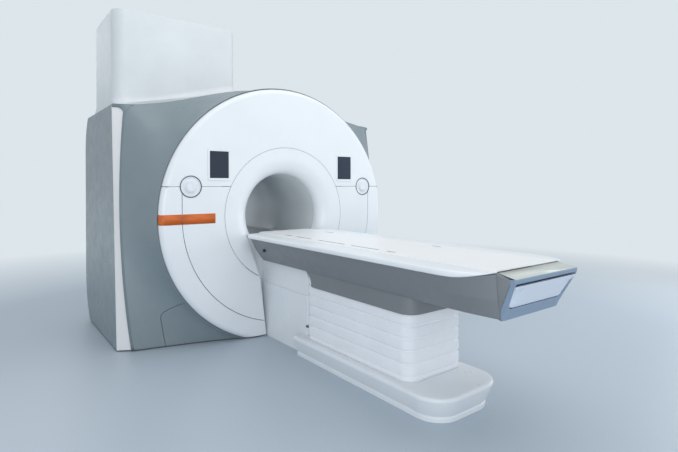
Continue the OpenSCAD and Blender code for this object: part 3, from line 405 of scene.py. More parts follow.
def make(name, shape, look, body="scanner", nodes=(), at=None):
    """A piece of the scanner with its finish, its body and the nodes that it stands for."""
    piece = solid(name, shape, at)
    piece.data.shade_smooth()
    piece.data.materials.append(finish(look))
    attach(piece, body)
    if nodes:
        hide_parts(*nodes)
    return piece


def carve(piece, shapes, operation="DIFFERENCE"):
    """Cuts a piece by solids, and keeps the result as its mesh."""
    cutters = [solid("cutter", shape, joined=False) for shape in shapes]
    for cutter in cutters:
        cut = piece.modifiers.new("Cut", "BOOLEAN")
        cut.operation, cut.solver, cut.object = operation, "EXACT", cutter
    bpy.context.view_layer.update()
    old = piece.data
    made = bpy.data.meshes.new_from_object(piece.evaluated_get(bpy.context.evaluated_depsgraph_get()))
    piece.modifiers.clear()
    piece.data = made
    made.name = old.name
    made.shade_smooth()
    for cutter in cutters:
        bpy.data.objects.remove(cutter)
    return piece


def soften(piece, width, segments=3, angle=35):
    """Rounds a piece's edges."""
    edge = piece.modifiers.new("Rounded edges", "BEVEL")
    edge.width, edge.segments, edge.limit_method = width, segments, "ANGLE"
    edge.angle_limit = math.radians(angle)
    return level(piece)


def level(piece):
    """Keeps large faces flat in their shading."""
    even = piece.modifiers.new("Flat faces first", "WEIGHTED_NORMAL")
    even.weight, even.mode = 100, "FACE_AREA"
    return piece


def refine(node, look, width=0.0015, segments=2, angle=35):
    """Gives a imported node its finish, smooth curves and rounded edges."""
    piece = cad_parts[node]
    mesh = piece.data
    if "custom_normal" in mesh.attributes:
        mesh.attributes.remove(mesh.attributes["custom_normal"])
    mesh.materials.clear()
    mesh.materials.append(finish(look))
    mesh.shade_smooth()
    weld = piece.modifiers.new("Joined corners", "WELD")
    weld.merge_threshold = 0.00001
    flat = piece.modifiers.new("Flat faces", "DECIMATE")
    flat.decimate_type, flat.angle_limit = "DISSOLVE", math.radians(0.5)
    if width:
        soften(piece, width, segments, angle)
    return piece


# Finishes


def connect(tree, socket, value):
    """Links a value to a socket, or sets it there."""
    if isinstance(value, bpy.types.NodeSocket):
        tree.links.new(value, socket)
    else:
        socket.default_value = value


def add_node(tree, kind, values=None, **settings):
    """A new node with its settings, and its inputs set or linked."""
    node = tree.nodes.new("ShaderNode" + kind)
    for key, value in settings.items():
        setattr(node, key, value)
    for key, value in (values or {}).items():
        connect(tree, node.inputs[key], value)
    return node


class Recipe:
    """A material's nodes, wired from a few words."""

    def __init__(self, name):
        self.material = bpy.data.materials.new(name)
        self.material.use_nodes = True
        self.tree = self.material.node_tree
        self.shader = self.tree.nodes["Principled BSDF"]
        self.place = self.add("TexCoord").outputs["Object"]

    def add(self, kind, values=None, **settings):
        """A node of this material."""
        return add_node(self.tree, kind, values, **settings)

    def noise(self, scale, detail=4.0, rough=0.5, stretch=None):
        """Grey noise of a size in features to the metre."""
        place = self.place
        if stretch:
            place = self.add("Mapping", {"Vector": place, "Scale": stretch}).outputs[0]
        values = {"Vector": place, "Scale": scale, "Detail": detail, "Roughness": rough}
        return self.add("TexNoise", values).outputs["Fac"]

    def ramp(self, value, low, high, start=0.3, end=0.7):
        """A value spread from start to end over low to high."""
        values = {"Value": value, "From Min": start, "From Max": end, "To Min": low, "To Max": high}
        return self.add("MapRange", values).outputs["Result"]

    def mix(self, factor, a, b):
        """Two colours mixed by a factor."""
        return self.add("Mix", {0: factor, 6: a, 7: b}, data_type="RGBA").outputs[2]

    def mottled(self, colour, dark, light, *grain):
        """A colour that drifts between a darker and a lighter tone, by a noise."""
        return self.mix(self.ramp(self.noise(*grain), 0, 1), shade(colour, dark), shade(colour, light))

    def bump(self, height, strength, distance):
        """Fine relief on the surface."""
        relief = self.add("Bump", {"Height": height, "Strength": strength, "Distance": distance})
        connect(self.tree, self.shader.inputs["Normal"], relief.outputs[0])

    def set(self, **values):
        """Sets or links the shader's inputs."""
        for key, value in values.items():
            connect(self.tree, self.shader.inputs[key.replace("_", " ")], value)


def shade(colour, gain):
    """A colour made lighter or darker."""
    return tuple(min(c * gain, 1) for c in colour[:3]) + (1.0,)


def moulded(r, colour, rough=0.35, grain=300, depth=0.00012, mottle=0.03, coat=0.15):
    """Moulded and painted plastic: an even coat with orange peel and faint wipe marks."""
    r.set(Base_Color=r.mottled(colour, 1 - mottle, 1 + mottle, 1.7, 5, 0.6))
    smear = r.noise(9, 6, 0.65, (1, 1, 0.35))
    r.set(Roughness=r.ramp(smear, rough - 0.05, rough + 0.08))
    r.set(Coat_Weight=coat, Coat_Roughness=0.12)
    r.bump(r.noise(grain, 3, 0.55), 0.35, depth)


def textured(r, colour, rough=0.5, grain=900, depth=0.0002, mottle=0.05):
    """Painted plastic with a fine pebbled texture."""
    cells = r.add("TexVoronoi", {"Vector": r.place, "Scale": grain, "Randomness": 0.9})
    fleck = r.ramp(cells.outputs["Distance"], 0.98, 1.02, 0.1, 0.6)
    base = r.mottled(colour, 1 - mottle, 1 + mottle, 2.3, 6, 0.62)
    value = r.add("HueSaturation", {"Color": base, "Value": fleck}).outputs[0]
    r.set(Base_Color=value, Roughness=r.ramp(r.noise(12, 5, 0.6), rough - 0.06, rough + 0.1))
    r.bump(r.noise(grain * 0.4, 2, 0.5), 0.3, depth)


def metal(r, colour, rough=0.35, stretch=(1, 1, 40), scale=60, depth=0.00004):
    """Metal with fine tool lines and dull patches."""
    lines = r.noise(scale, 4, 0.7, stretch)
    r.set(Base_Color=r.mottled(colour, 0.9, 1.08, 3, 4, 0.5), Metallic=1.0)
    r.set(Roughness=r.ramp(lines, rough - 0.1, rough + 0.14))
    r.bump(lines, 0.4, depth)


def waves(r, scale, distortion, direction):
    """Fine bands side by side."""
    values = {"Vector": r.place, "Scale": scale, "Distortion": distortion}
    return r.add("TexWave", values, bands_direction=direction).outputs["Fac"]


def coated_cloth(r, colour, rough=0.6):
    """Coated fabric with a fine weave."""
    warp, weft = (waves(r, 260, 0.4, direction) for direction in ("Z", "DIAGONAL"))
    weave = r.add("Math", {0: warp, 1: weft}, operation="MULTIPLY")
    r.set(Base_Color=r.mottled(colour, 0.97, 1.02, 4, 5, 0.6))
    r.set(Roughness=r.ramp(r.noise(30, 4, 0.6), rough - 0.05, rough + 0.08), Sheen_Weight=0.12)
    r.bump(weave.outputs[0], 0.25, 0.00015)


def rubber(r, colour, rough=0.75):
    """Matt rubber with a dusty bloom."""
    r.set(Base_Color=r.mottled(colour, 0.8, 1.5, 14, 6, 0.7))
    r.set(Roughness=r.ramp(r.noise(45, 4, 0.6), rough - 0.12, rough + 0.1))
    r.bump(r.noise(700, 3, 0.6), 0.4, 0.0002)


def glass(r, colour, rough=0.06):
    """Dark glass of a switched-off display, with faint finger marks."""
    r.set(Base_Color=r.mottled(colour, 0.8, 1.25, 3, 2, 0.4))
    r.set(Roughness=r.ramp(r.noise(25, 6, 0.7), rough, rough + 0.1, 0.4, 0.8), IOR=1.52)
    r.set(Coat_Weight=0.6, Coat_Roughness=0.03)


def winding(r, colour):
    """Resin-bound wire: fine turns side by side."""
    turns = waves(r, 120, 0.2, "Y")
    r.set(Base_Color=r.mottled(colour, 0.85, 1.1, 8, 4, 0.6))
    r.set(Roughness=r.ramp(turns, 0.35, 0.55, 0, 1), Metallic=0.3)
    r.bump(turns, 0.5, 0.0006)


# Each finish: the record's slot, its recipe, its colour or the name of a colour in the settings, and the
# recipe's words
LOOKS = {
    "cover": ("cover_white", moulded, "cover_colour", {"rough": 0.32}),
    "seam": ("cover_white", moulded, (0.34, 0.38, 0.42), {"rough": 0.6}),
    "rim_band": ("table_white", moulded, "cover_colour", {"rough": 0.36, "grain": 420}),
    "tabletop": ("table_white", moulded, "top_colour",
                 {"rough": 0.36, "grain": 90, "depth": 0.00002, "mottle": 0.015}),
    "tower": ("tower_white", textured, "tower_colour", {"rough": 0.45, "grain": 600, "depth": 0.0001}),
    "body": ("body_grey", textured, "body_colour", {"rough": 0.33, "depth": 0.0001}),
    # The bead's finish is the body's grey made darker: painted shade on the rolled edge beside the strip.
    "body_lip": ("body_grey", textured, "lip_colour", {"rough": 0.42}),
    "strip": ("cover_white", moulded, "strip_colour", {"rough": 0.34}),
    "stripe": ("stripe_orange", moulded, "stripe_colour", {"rough": 0.42, "depth": 0.00005, "coat": 0.05}),
    "liner": ("liner_plastic", moulded, "liner_colour", {"rough": 0.38}),
    "dial": ("dial_white", moulded, "dial_colour", {"rough": 0.28}),
    "ring": ("ring_dark", moulded, "ring_colour", {"rough": 0.35, "grain": 500}),
    "screen": ("screen_glass", glass, "screen_colour", {}),
    "housing": ("table_grey", textured, "housing_colour", {"rough": 0.4, "mottle": 0.04}),
    "cap_lip": ("cap_blue", moulded, "cap_colour", {"rough": 0.4}),
    "cap_top": ("cap_blue", moulded, "cap_top_colour", {"rough": 0.42}),
    "handle": ("cover_white", moulded, "handle_colour", {"rough": 0.33}),
    "socket": ("ring_dark", rubber, (0.02, 0.022, 0.025), {"rough": 0.6}),
    "bellows": ("bellows_white", coated_cloth, "bellows_colour", {}),
    "vessel": ("vessel_steel", metal, (0.42, 0.44, 0.47), {"stretch": (1, 30, 1)}),
    "column": ("column_steel", metal, (0.36, 0.38, 0.41), {}),
    "ram": ("column_aluminium", metal, (0.6, 0.62, 0.64), {"rough": 0.28}),
    "pipe": ("pipe_steel", metal, (0.5, 0.52, 0.54), {}),
    "shield": ("shield_aluminium", metal, (0.65, 0.66, 0.68), {"rough": 0.25}),
    "machined": ("machined_aluminium", metal, (0.6, 0.61, 0.63), {"rough": 0.22, "stretch": (40, 1, 1)}),
    "coil": ("coil_winding", winding, (0.42, 0.2, 0.09), {}),
    "rod": ("rod_fibreglass", textured, (0.5, 0.36, 0.12), {"grain": 400}),
    "frame_coat": ("frame_paint", textured, (0.1, 0.11, 0.13), {"rough": 0.55}),
    "resin": ("coil_resin", moulded, (0.45, 0.38, 0.22), {"rough": 0.45, "grain": 120}),
    "motor": ("motor_dark", moulded, (0.012, 0.013, 0.015), {"rough": 0.4}),
    "belt": ("belt_rubber", rubber, (0.012, 0.012, 0.014), {}),
    "roller": ("roller_rubber", rubber, (0.03, 0.032, 0.035), {}),
}


def finish(look):
    """The material of a look, made once."""
    name = "finish_" + look
    if name in bpy.data.materials:
        return bpy.data.materials[name]
    _, recipe, colour, words = LOOKS[look]
    if isinstance(colour, str):
        colour = tuple(getattr(bpy.context.scene.scanner_colours, colour))
    made = Recipe(name)
    recipe(made, colour, **words)
    return made.material


# Settings


def colour_setting(name, default):
    """A colour that a user may change."""
    words = {"name": name, "description": "Base colour of the finish", "default": default}
    return FloatVectorProperty(**words, subtype="COLOR", size=3, min=0, max=1)


def length_setting(name, text, default):
    """A length that a user may change."""
    return FloatProperty(name=name, description=text, default=default, unit="LENGTH", min=0.0002, precision=4)


class ScannerColours(bpy.types.PropertyGroup):
    """Colours of the scanner's finishes"""

    cover_colour: colour_setting("Covers", (0.82, 0.855, 0.885))
    tower_colour: colour_setting("Duct tower", (0.68, 0.71, 0.73))
    body_colour: colour_setting("Flared body", (0.225, 0.275, 0.30))
    # A darker copy of the body's grey, as painted shade on the bead's rolled edge.
    lip_colour: colour_setting("Bead beside the edge strips", (0.17, 0.21, 0.235))
    strip_colour: colour_setting("Edge strips", (0.8, 0.8, 0.8))
    stripe_colour: colour_setting("Front stripe", (0.64, 0.13, 0.014))
    liner_colour: colour_setting("Bore's liner", (0.52, 0.56, 0.585))
    dial_colour: colour_setting("Control dials", (0.78, 0.82, 0.86))
    ring_colour: colour_setting("Dial rings", (0.06, 0.075, 0.09))
    screen_colour: colour_setting("Displays", (0.012, 0.022, 0.045))
    top_colour: colour_setting("Sliding tabletop", (0.9, 0.91, 0.92))
    housing_colour: colour_setting("Table's housing", (0.205, 0.218, 0.235))
    cap_colour: colour_setting("End cap", (0.25, 0.345, 0.47))
    cap_top_colour: colour_setting("End cap's top", (0.6, 0.64, 0.6))
    handle_colour: colour_setting("Release handle", (0.73, 0.79, 0.9))
    bellows_colour: colour_setting("Bellows", (0.87, 0.89, 0.93))
    floor_colour: colour_setting("Floor", (0.47, 0.54, 0.61))


class ScannerSizes(bpy.types.PropertyGroup):
    """Sizes of the scanner's fine shapes"""

    cover_edge: length_setting("Cover edge", "Radius on the edges of the white covers", 0.003)
    body_edge: length_setting("Body edge", "Radius on the edges of the grey body", 0.0025)
    bead: length_setting("Bead", "Width of the bead beside the edge strips", 0.030)
    tower_fillet: length_setting("Tower fillet", "Radius where the tower meets the roof", 0.075)
    fold_depth: length_setting("Fold depth", "Depth of the grooves of the bellows", 0.010)
    table_edge: length_setting("Table edge", "Radius on the rim of the table", 0.012)
    housing_edge: length_setting("Housing edge", "Radius under the table's housing", 0.022)


def sizes():
    """The scene's sizes."""
    return bpy.context.scene.scanner_sizes


# Pieces


# Drawn seams of the covers: width, half the turn of the one round the mouth, spans of the level ones
SEAM_W = 0.008
MOUTH_TURN = math.degrees(math.acos(-0.72))
SEAM_SPANS = ((0.592, DIAL_X - 0.0835), (DIAL_X + 0.0835, 1.03))


class SCANNER_OT_covers(bpy.types.Operator):
    """Dresses the round front covers, the mouths and the recess"""

    bl_idname = "scanner.covers"
    bl_label = "Round covers"

    def execute(self, context):
        edge = sizes().cover_edge
        refine("front_cover_upper", "cover", edge, 3)
        for _, tag in SIDES[::-1]:
            refine("front_cover_" + tag, "cover", edge, 3)
            refine("rim_cover_" + tag, "cover", edge, 3)
        for node in ("front_funnel", "rear_funnel"):
            refine(node, "cover", edge, 3, 50)
        refine("dock_recess", "cover", 0.001)
        band = rectangle((MOUTH_R - SEAM_W * 0.75, MOUTH_R + SEAM_W * 0.75), (FACE + 0.0028, FACE + 0.0060))
        sweep = turns(-MOUTH_TURN, MOUTH_TURN, 161)
        rings = [[(r * math.sin(a), y, BORE_Z + r * math.cos(a)) for r, y in band] for a in sweep]
        make("mouth_seam", loft(rings), "seam")
        depth, height = (FACE + 0.0016, FACE + 0.006), (SEAM_Z - SEAM_W / 2, SEAM_Z + SEAM_W / 2)
        for side, tag in SIDES:
            strips = [block([side * x for x in span], depth, height) for span in SEAM_SPANS]
            make("level_seam_" + tag, gathered(strips), "seam")
        refine("accent_stripe", "stripe", 0)
        refine("bore_liner", "liner", 0)
        refine("bore_rails", "liner", 0.002)
        return {"FINISHED"}


# Outline of the right service panel seen from the front, and half the gap round it
SERVICE = rounded(
    [(0.30, -0.01), (0.962, -0.01), (1.006, 0.262), (0.78, 0.405), (0.48, 0.525), (0.30, 0.525)],
    [0, 0, 0.055, 0.3, 0, 0],
)
SERVICE_GAP = 0.002


class SCANNER_OT_body(bpy.types.Operator):
    """Builds the flared grey body with its service panels"""

    bl_idname = "scanner.body"
    bl_label = "Grey body"

    def execute(self, context):
        right = flare_grid(150, 30)
        for side, tag in SIDES:
            skin = shell(right * (side, 1, 1), 0.006 * side)
            outline = [(side * x, z) for x, z in SERVICE]
            body = make("body_" + tag, skin, "body", nodes=["surround_" + tag])
            panel = make("service_panel_" + tag, skin, "body", nodes=["service_panels"])
            carve(body, [prism(grown(outline, side * SERVICE_GAP), -1.0, 0.0)])
            carve(panel, [prism(grown(outline, side * -SERVICE_GAP), -1.0, 0.0)], "INTERSECT")
            for piece in (body, panel):
                soften(piece, sizes().body_edge, 3, 40)
        return {"FINISHED"}


class SCANNER_OT_strips(bpy.types.Operator):
    """Builds the pale edge strips and the beads beside them"""

    bl_idname = "scanner.strips"
    bl_label = "Edge strips"

    def execute(self, context):
        for side, tag in SIDES:
            strip = [self.strip_ring(z, side) for z in np.linspace(FLOOR_GAP, SHOULDER - 0.008, 60)]
            soften(make("edge_strip_" + tag, loft(strip), "strip", nodes=["trim_strips"]), 0.002, 2, 60)
            heights = [*np.linspace(1.2, 1.8, 7), *np.linspace(1.81, SHOULDER - 0.0125, 20)]
            heights += [SHOULDER - BEAD_DROP, SHOULDER - 0.001]
            level(make("corner_" + tag, loft([self.corner_ring(z, side) for z in heights]), "body"))
            # The bead gets the darker grey: painted shade along the strip's edge.
            make("edge_bead_" + tag, loft(self.bead_rings(sizes().bead / 2, side)), "body_lip")
        return {"FINISHED"}

    def strip_ring(self, z, side):
        """Section of an edge strip at a height."""
        front, w = front_edge(z), half_width(z) + 0.001
        back = front + STRIP_DEPTH
        section = [(w, front + 0.003), (SIDE_W - 0.022, strip_depth(SIDE_W - 0.022, z) + 0.001)]
        section += [(SIDE_W - 0.008, back - 0.007), (SIDE_W - 0.0015, back + 0.001)]
        section += [(SIDE_W, back + 0.008), (w, front + 0.012)]
        return at_height(section, z, side)

    def corner_ring(self, z, side):
        """Section of the plate that closes the corner between flare and strip at a height."""
        drop = max(1 - ((z - BORE_Z) / (SHOULDER - BORE_Z)) ** SQUARENESS, 0)
        inner = max(half_width(z) * drop ** (1 / SQUARENESS), 1.16) - 0.002
        xs = np.linspace(inner, bead_side(z), 9)
        section = [(x, strip_depth(x, z) + 0.0005) for x in xs]
        section += [(x, strip_depth(x, z) + 0.009) for x in xs[::-1]]
        return at_height(section, z, side)

    def bead_rings(self, half, side):
        """Sections along the bead, up its edge and round the bend to the side."""
        bend_z = SHOULDER - BEAD_DROP - BEAD_BEND
        path = [(bead_side(z), z) for z in np.linspace(FLOOR_GAP, bend_z, 60)]
        w = path[-1][0]
        for a in turns(8, 90, 12):
            path.append((w + BEAD_BEND * (1 - math.cos(a)), bend_z + BEAD_BEND * math.sin(a)))
        path += [(x, SHOULDER - BEAD_DROP) for x in np.linspace(path[-1][0] + 0.008, SIDE_W - 0.004, 6)]
        points = [Vector((x, strip_depth(x, z) + 0.002, z)) for x, z in path]
        rings = []
        for i, point in enumerate(points):
            along = (points[min(i + 1, len(points) - 1)] - points[max(i - 1, 0)]).normalized()
            across = along.cross(Vector((0, -1, 0))).normalized()
            out = across.cross(along)
            ring = []
            for k in range(16):
                t = 2 * math.pi * k / 16
                p = point + across * (half * math.cos(t)) + out * (0.0085 * math.sin(t))
                ring.append((side * min(p.x, SIDE_W), p.y, max(p.z, FLOOR_GAP)))
            rings.append(ring)
        return rings


class SCANNER_OT_shell(bpy.types.Operator):
    """Builds the side panels, the roof and the domed rear"""

    bl_idname = "scanner.shell"
    bl_label = "Sides, roof and rear"

    def execute(self, context):
        ends = (FLOOR_GAP, SHOULDER)
        outline = [(front_edge(z) + STRIP_DEPTH + WALL + 0.0005, z) for z in ends]
        outline += [(rear_edge(z), z) for z in np.linspace(*ends, 70)[::-1]]
        for side, tag in SIDES:
            panel = crosswise(outline, (side * (SIDE_W - WALL), side * SIDE_W))
            soften(make("side_panel_" + tag, panel, "body", nodes=["side_panels"]), sizes().body_edge, 3, 40)
        front, back = front_edge(SHOULDER) + 0.0085, rear_edge(SHOULDER) - 0.0085
        xs = np.linspace(-BACK_W, BACK_W, 121)
        section = [(x, roof_height(x)) for x in xs]
        section += [(x, z - WALL) for x, z in section[::-1]]
        rings = [[(x, y, z) for x, z in section] for y in np.linspace(front, back, 3)]
        roof = make("roof", loft(rings), "body", nodes=["top_cover"])
        corner = [(1.17, -0.9), (1.17, -0.4615), (1.1983, -0.4615)]
        corner += [(1.288, -0.405), (1.35, -0.405), (1.35, -0.9)]
        cuts = [upright([(side * x, y) for x, y in corner], (1.5, 2.5)) for side, _ in SIDES]
        cuts.append(block((-1.18, -0.3), (-0.3, 0.29), (1.5, 2.5)))
        soften(carve(roof, cuts), 0.004, 3, 50)
        for side, tag in SIDES:
            rings = []
            for z in np.linspace(1.70, SHOULDER - 0.0005, 24):
                y = rear_edge(z) - 0.0045
                rings.append(at_height(rectangle((1.14, BACK_W), (y - 0.012, y)), z, side))
            level(make("rear_corner_" + tag, loft(rings), "body"))
        rear = shell(dome_grid(200, 26)[:, ::-1], -0.006, True)
        soften(make("rear_dome", rear, "body", nodes=["rear_cover"]), 0.002, 2, 50)
        return {"FINISHED"}


# The tower's plan and its rounded top as inset and height, and the vent's place and radius
TOWER_X = (-1.27, -0.24)
TOWER_Y = (-0.38, 0.37)
TOWER_TOP = ((0.0, 2.644), (0.0008, 2.6475), (0.003, 2.6495), (0.006, 2.65))
VENT = (-0.48, -0.06)
VENT_R = 0.0753


class SCANNER_OT_tower(bpy.types.Operator):
    """Builds the duct tower with its soft foot"""

    bl_idname = "scanner.tower"
    bl_label = "Tower"

    def execute(self, context):
        fillet = sizes().tower_fillet
        plan = [Vector(p) for p in rounded(rectangle(TOWER_X, TOWER_Y), 0.09, 10)]
        full = []
        for p, q in zip(plan, plan[1:] + plan[:1]):
            pieces = max(1, int((q - p).length / 0.05))
            full += [p + (q - p) * k / pieces for k in range(pieces)]
        steps = [q - p for p, q in zip(full[-1:] + full[:-1], full[1:] + full[:1])]
        normals = [Vector((d.y, -d.x)).normalized() for d in steps]
        rings = []
        for a in turns(0, 90, 9):
            out, up = fillet * (1 - math.sin(a)), fillet * (1 - math.cos(a))
            ring = [p + d * out for p, d in zip(full, normals)]
            foot = [(max(p.x, TOWER_X[0]), p.y) for p in ring]
            rings.append([(x, y, roof_height(x) + up + 0.0005) for x, y in foot])
        for inset, z in TOWER_TOP:
            rings.append([(p.x - d.x * inset, p.y - d.y * inset, z) for p, d in zip(full, normals)])
        tower = make("tower", loft(rings), "tower", nodes=["tower_cover"])
        level(carve(tower, [spun([(VENT_R, 2.4), (VENT_R, 2.7)], 64, VENT)]))
        return {"FINISHED"}


class SCANNER_OT_displays(bpy.types.Operator):
    """Dresses the two displays beside the bore"""

    bl_idname = "scanner.displays"
    bl_label = "Displays"

    def execute(self, context):
        refine("display_bezels", "cover", 0.003, 3, 50)
        (w, h), z = DISPLAY_HALF, DISPLAY[1]
        for side, tag in SIDES:
            x = side * DISPLAY[0]
            outline = rounded(rectangle((x - w, x + w), (z - h, z + h)), 0.004)
            pane = prism(outline, FACE - 0.001, FACE + 0.0137)
            soften(make("display_" + tag, pane, "screen", nodes=["display_screens"]), 0.001, 2)
        return {"FINISHED"}


# Profiles of a dial's pieces: distance from its axis, height over the cover
DIAL_RING = [(0.0782, 0.0035), (0.0782, -0.018), (0.083, -0.018), (0.083, 0.0035)]
DIAL_DISH = [
    (0.0365, -0.008), (0.0365, 0.0065), (0.039, 0.0078), (0.0425, 0.0078), (0.0445, 0.006), (0.046, -0.0015),
    (0.049, -0.003), (0.06, -0.0032), (0.07, -0.0026), (0.0755, -0.001), (0.0775, -0.0025), (0.0775, -0.0125),
    (0.05, -0.0125), (0.045, -0.02), (0.0365, -0.02),
]
DIAL_KNOB = [
    (0.0, -0.014), (0.036, -0.014), (0.036, 0.0078), (0.0345, 0.0092), (0.031, 0.0098), (0.02, 0.0088),
    (0.0001, 0.0082),
]


class SCANNER_OT_dials(bpy.types.Operator):
    """Builds the control dials, their rings and their buttons"""

    bl_idname = "scanner.dials"
    bl_label = "Control dials"

    def execute(self, context):
        ring = closed_spin(rounded(DIAL_RING, [0.0015, 0, 0, 0.0015], 4))
        dish, knob = closed_spin(rounded(DIAL_DISH, 0.0012, 2)), spun(rounded(DIAL_KNOB, 0.001, 2, False))
        mark = block((0.0665, 0.0725), (-0.0006, 0.0006), (-0.004, -0.0022))
        for side, tag in SIDES:
            at = Matrix.Translation((side * DIAL_X, FACE, SEAM_Z)) @ Matrix.Rotation(math.radians(90), 4, "X")
            make("dial_ring_" + tag, ring, "ring", nodes=["control_rings"], at=at)
            make("dial_plate_" + tag, dish, "dial", "dial_" + tag, ["control_dial_" + tag], at)
            make("dial_button_" + tag, knob, "dial", "button_" + tag, ["control_button_" + tag], at)
            marks = [moved(mark, at @ Matrix.Rotation(a, 4, "Z")) for a in turns(66, 114, 5)]
            make("dial_marks_" + tag, gathered(marks), "ring", "dial_" + tag)
        return {"FINISHED"}


# The pedestal: half width, ends, wall, and the room that the housing leaves for the slide on it
PEDESTAL_W = 0.195
PEDESTAL_Y = (-1.5, -0.7785)
PEDESTAL_WALL = 0.006
SLIDE_W = 0.1882
SLIDE_ROOM = box_ring(0.198, -1.503, -0.8, 0.03, 4)


class SCANNER_OT_pedestal(bpy.types.Operator):
    """Builds the pedestal between scanner and bellows"""

    bl_idname = "scanner.pedestal"
    bl_label = "Pedestal"

    def execute(self, context):
        (foot, head), t = PEDESTAL_Y, PEDESTAL_WALL
        outside = upright(box_ring(PEDESTAL_W, foot, head, 0.03, 6), (0.0, PEDESTAL_TOP))
        base = make("pedestal", outside, "cover", nodes=["dock_pedestal"])
        carve(base, [upright(box_ring(PEDESTAL_W - t, foot + t, head - t, 0.026, 6), (-0.1, 0.6))])
        seams, stops = [], []
        for side, _ in SIDES:
            wall = (side * (PEDESTAL_W - 0.0018), side * (PEDESTAL_W + 0.005))
            seams.append(block(wall, (-1.2075, -1.2045), (0.195, 0.6)))
            seams.append(block(wall, (-1.46, -0.9), (0.1936, 0.1964)))
            stops.append(block((side * 0.1905, side * 0.2055), (-1.5075, -1.478), (0.211, 0.225)))
        soften(carve(base, seams), 0.002, 2, 50)
        profile = [(-1.4932, 0.405), (-0.787, 0.405), (-0.787, 0.62), (-0.9, 0.636), (-0.9, 0.75)]
        profile += [(-1.39, 0.75), (-1.39, 0.64)] + arc((-1.39, 0.537), 0.1032, 90, 180, 12)
        slide = crosswise(profile, (-SLIDE_W, SLIDE_W))
        slide = make("pedestal_slide", slide, "cover", "lift", ["dock_slide"])
        soften(make("pedestal_stops", gathered(stops), "ring"), 0.002, 2)
        soften(slide, 0.006, 3, 50)
        return {"FINISHED"}


# The plinth: half width, foot end and corner, then the steps of its side as reach outwards and height
PLINTH_W = 0.245
PLINTH_END = -2.785
PLINTH_CORNER = 0.15
PLINTH_FOOT = (
    (0.0, 0.0), (0.002, 0.0), (0.004, 0.003), (0.004, 0.024), (0.002, 0.028), (-0.001, 0.030), (0.001, 0.034),
)
PLINTH_TOP = (
    (0.0400, 0.130), (0.0396, 0.137), (0.037, 0.143), (0.032, 0.147), (0.024, 0.149), (0.012, 0.1499),
)


class SCANNER_OT_plinth(bpy.types.Operator):
    """Builds the plinth under the bellows"""

    bl_idname = "scanner.plinth"
    bl_label = "Plinth"

    def execute(self, context):
        side = [(0.040 * u**0.8 * 0.97, 0.034 + 0.09 * u) for u in np.linspace(0.1, 1, 10)]
        rings = []
        for out, z in (*PLINTH_FOOT, *side, *PLINTH_TOP):
            w, foot, r = PLINTH_W + out, PLINTH_END - out, PLINTH_CORNER + out * 0.5
            plan = [(w, -1.43), (-w, -1.43)] + arc((-w + r, foot + r), r, 180, 270, 16)
            rings.append(at_height(plan + arc((w - r, foot + r), r, 270, 360, 16), z))
        plinth = make("plinth", loft(rings), "cover", nodes=["plinth_cover"])
        notch = block((-0.197, 0.197), (-1.502, -1.2), (-0.1, 0.3))
        well = upright(box_ring(0.214, -2.543, -1.534, 0.06, 8), (0.02, 0.3))
        soften(carve(plinth, [notch, well]), 0.0015, 2, 50)
        return {"FINISHED"}


# One fold of the bellows: height as a part of the fold, depth as a part of the groove
FOLD = (
    (0.0, 0.55), (0.03, 0.95), (0.06, 1.0), (0.09, 0.9), (0.12, 0.45), (0.16, 0.14), (0.24, 0.04),
    (0.36, 0.0), (0.5, 0.0), (0.64, 0.0), (0.8, 0.03), (0.9, 0.1), (0.96, 0.3),
)


class SCANNER_OT_bellows(bpy.types.Operator):
    """Builds the folded bellows round the lifting column"""

    bl_idname = "scanner.bellows"
    bl_label = "Bellows"

    def execute(self, context):
        low, top, fold, folds = 0.1503, 0.6793, 0.072, 7
        levels = [(low, 0.003), (low + 0.022, 0.003)]
        for i in range(folds):
            z = low + 0.025 + i * fold
            levels += [(z + u * fold, inset * sizes().fold_depth) for u, inset in FOLD]
        levels.append((top, 0.004))
        rings = []
        for z, inset in levels:
            rings.append(at_height(box_ring(0.238 - inset, -2.567 + inset, -1.51 - inset, 0.08, 12), z))
        piece = make("bellows_skirt", loft(rings), "bellows", "lift", ["bellows"])
        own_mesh(piece)
        return {"FINISHED"}


# Depth and height of the round plugs, and the housing's stations: depth, half width on top, half width below
PLUG = (-1.10, 0.745)
STATIONS = np.array([
    (-3.145, 0.2715, 0.2365), (-3.12, 0.290, 0.241), (-3.086, 0.312, 0.244), (-3.04, 0.336, 0.251),
    (-2.996, 0.356, 0.256), (-2.94, 0.374, 0.260), (-2.88, 0.384, 0.262), (-0.95, 0.384, 0.262),
    (-0.92, 0.376, 0.256), (-0.89, 0.337, 0.232),
])


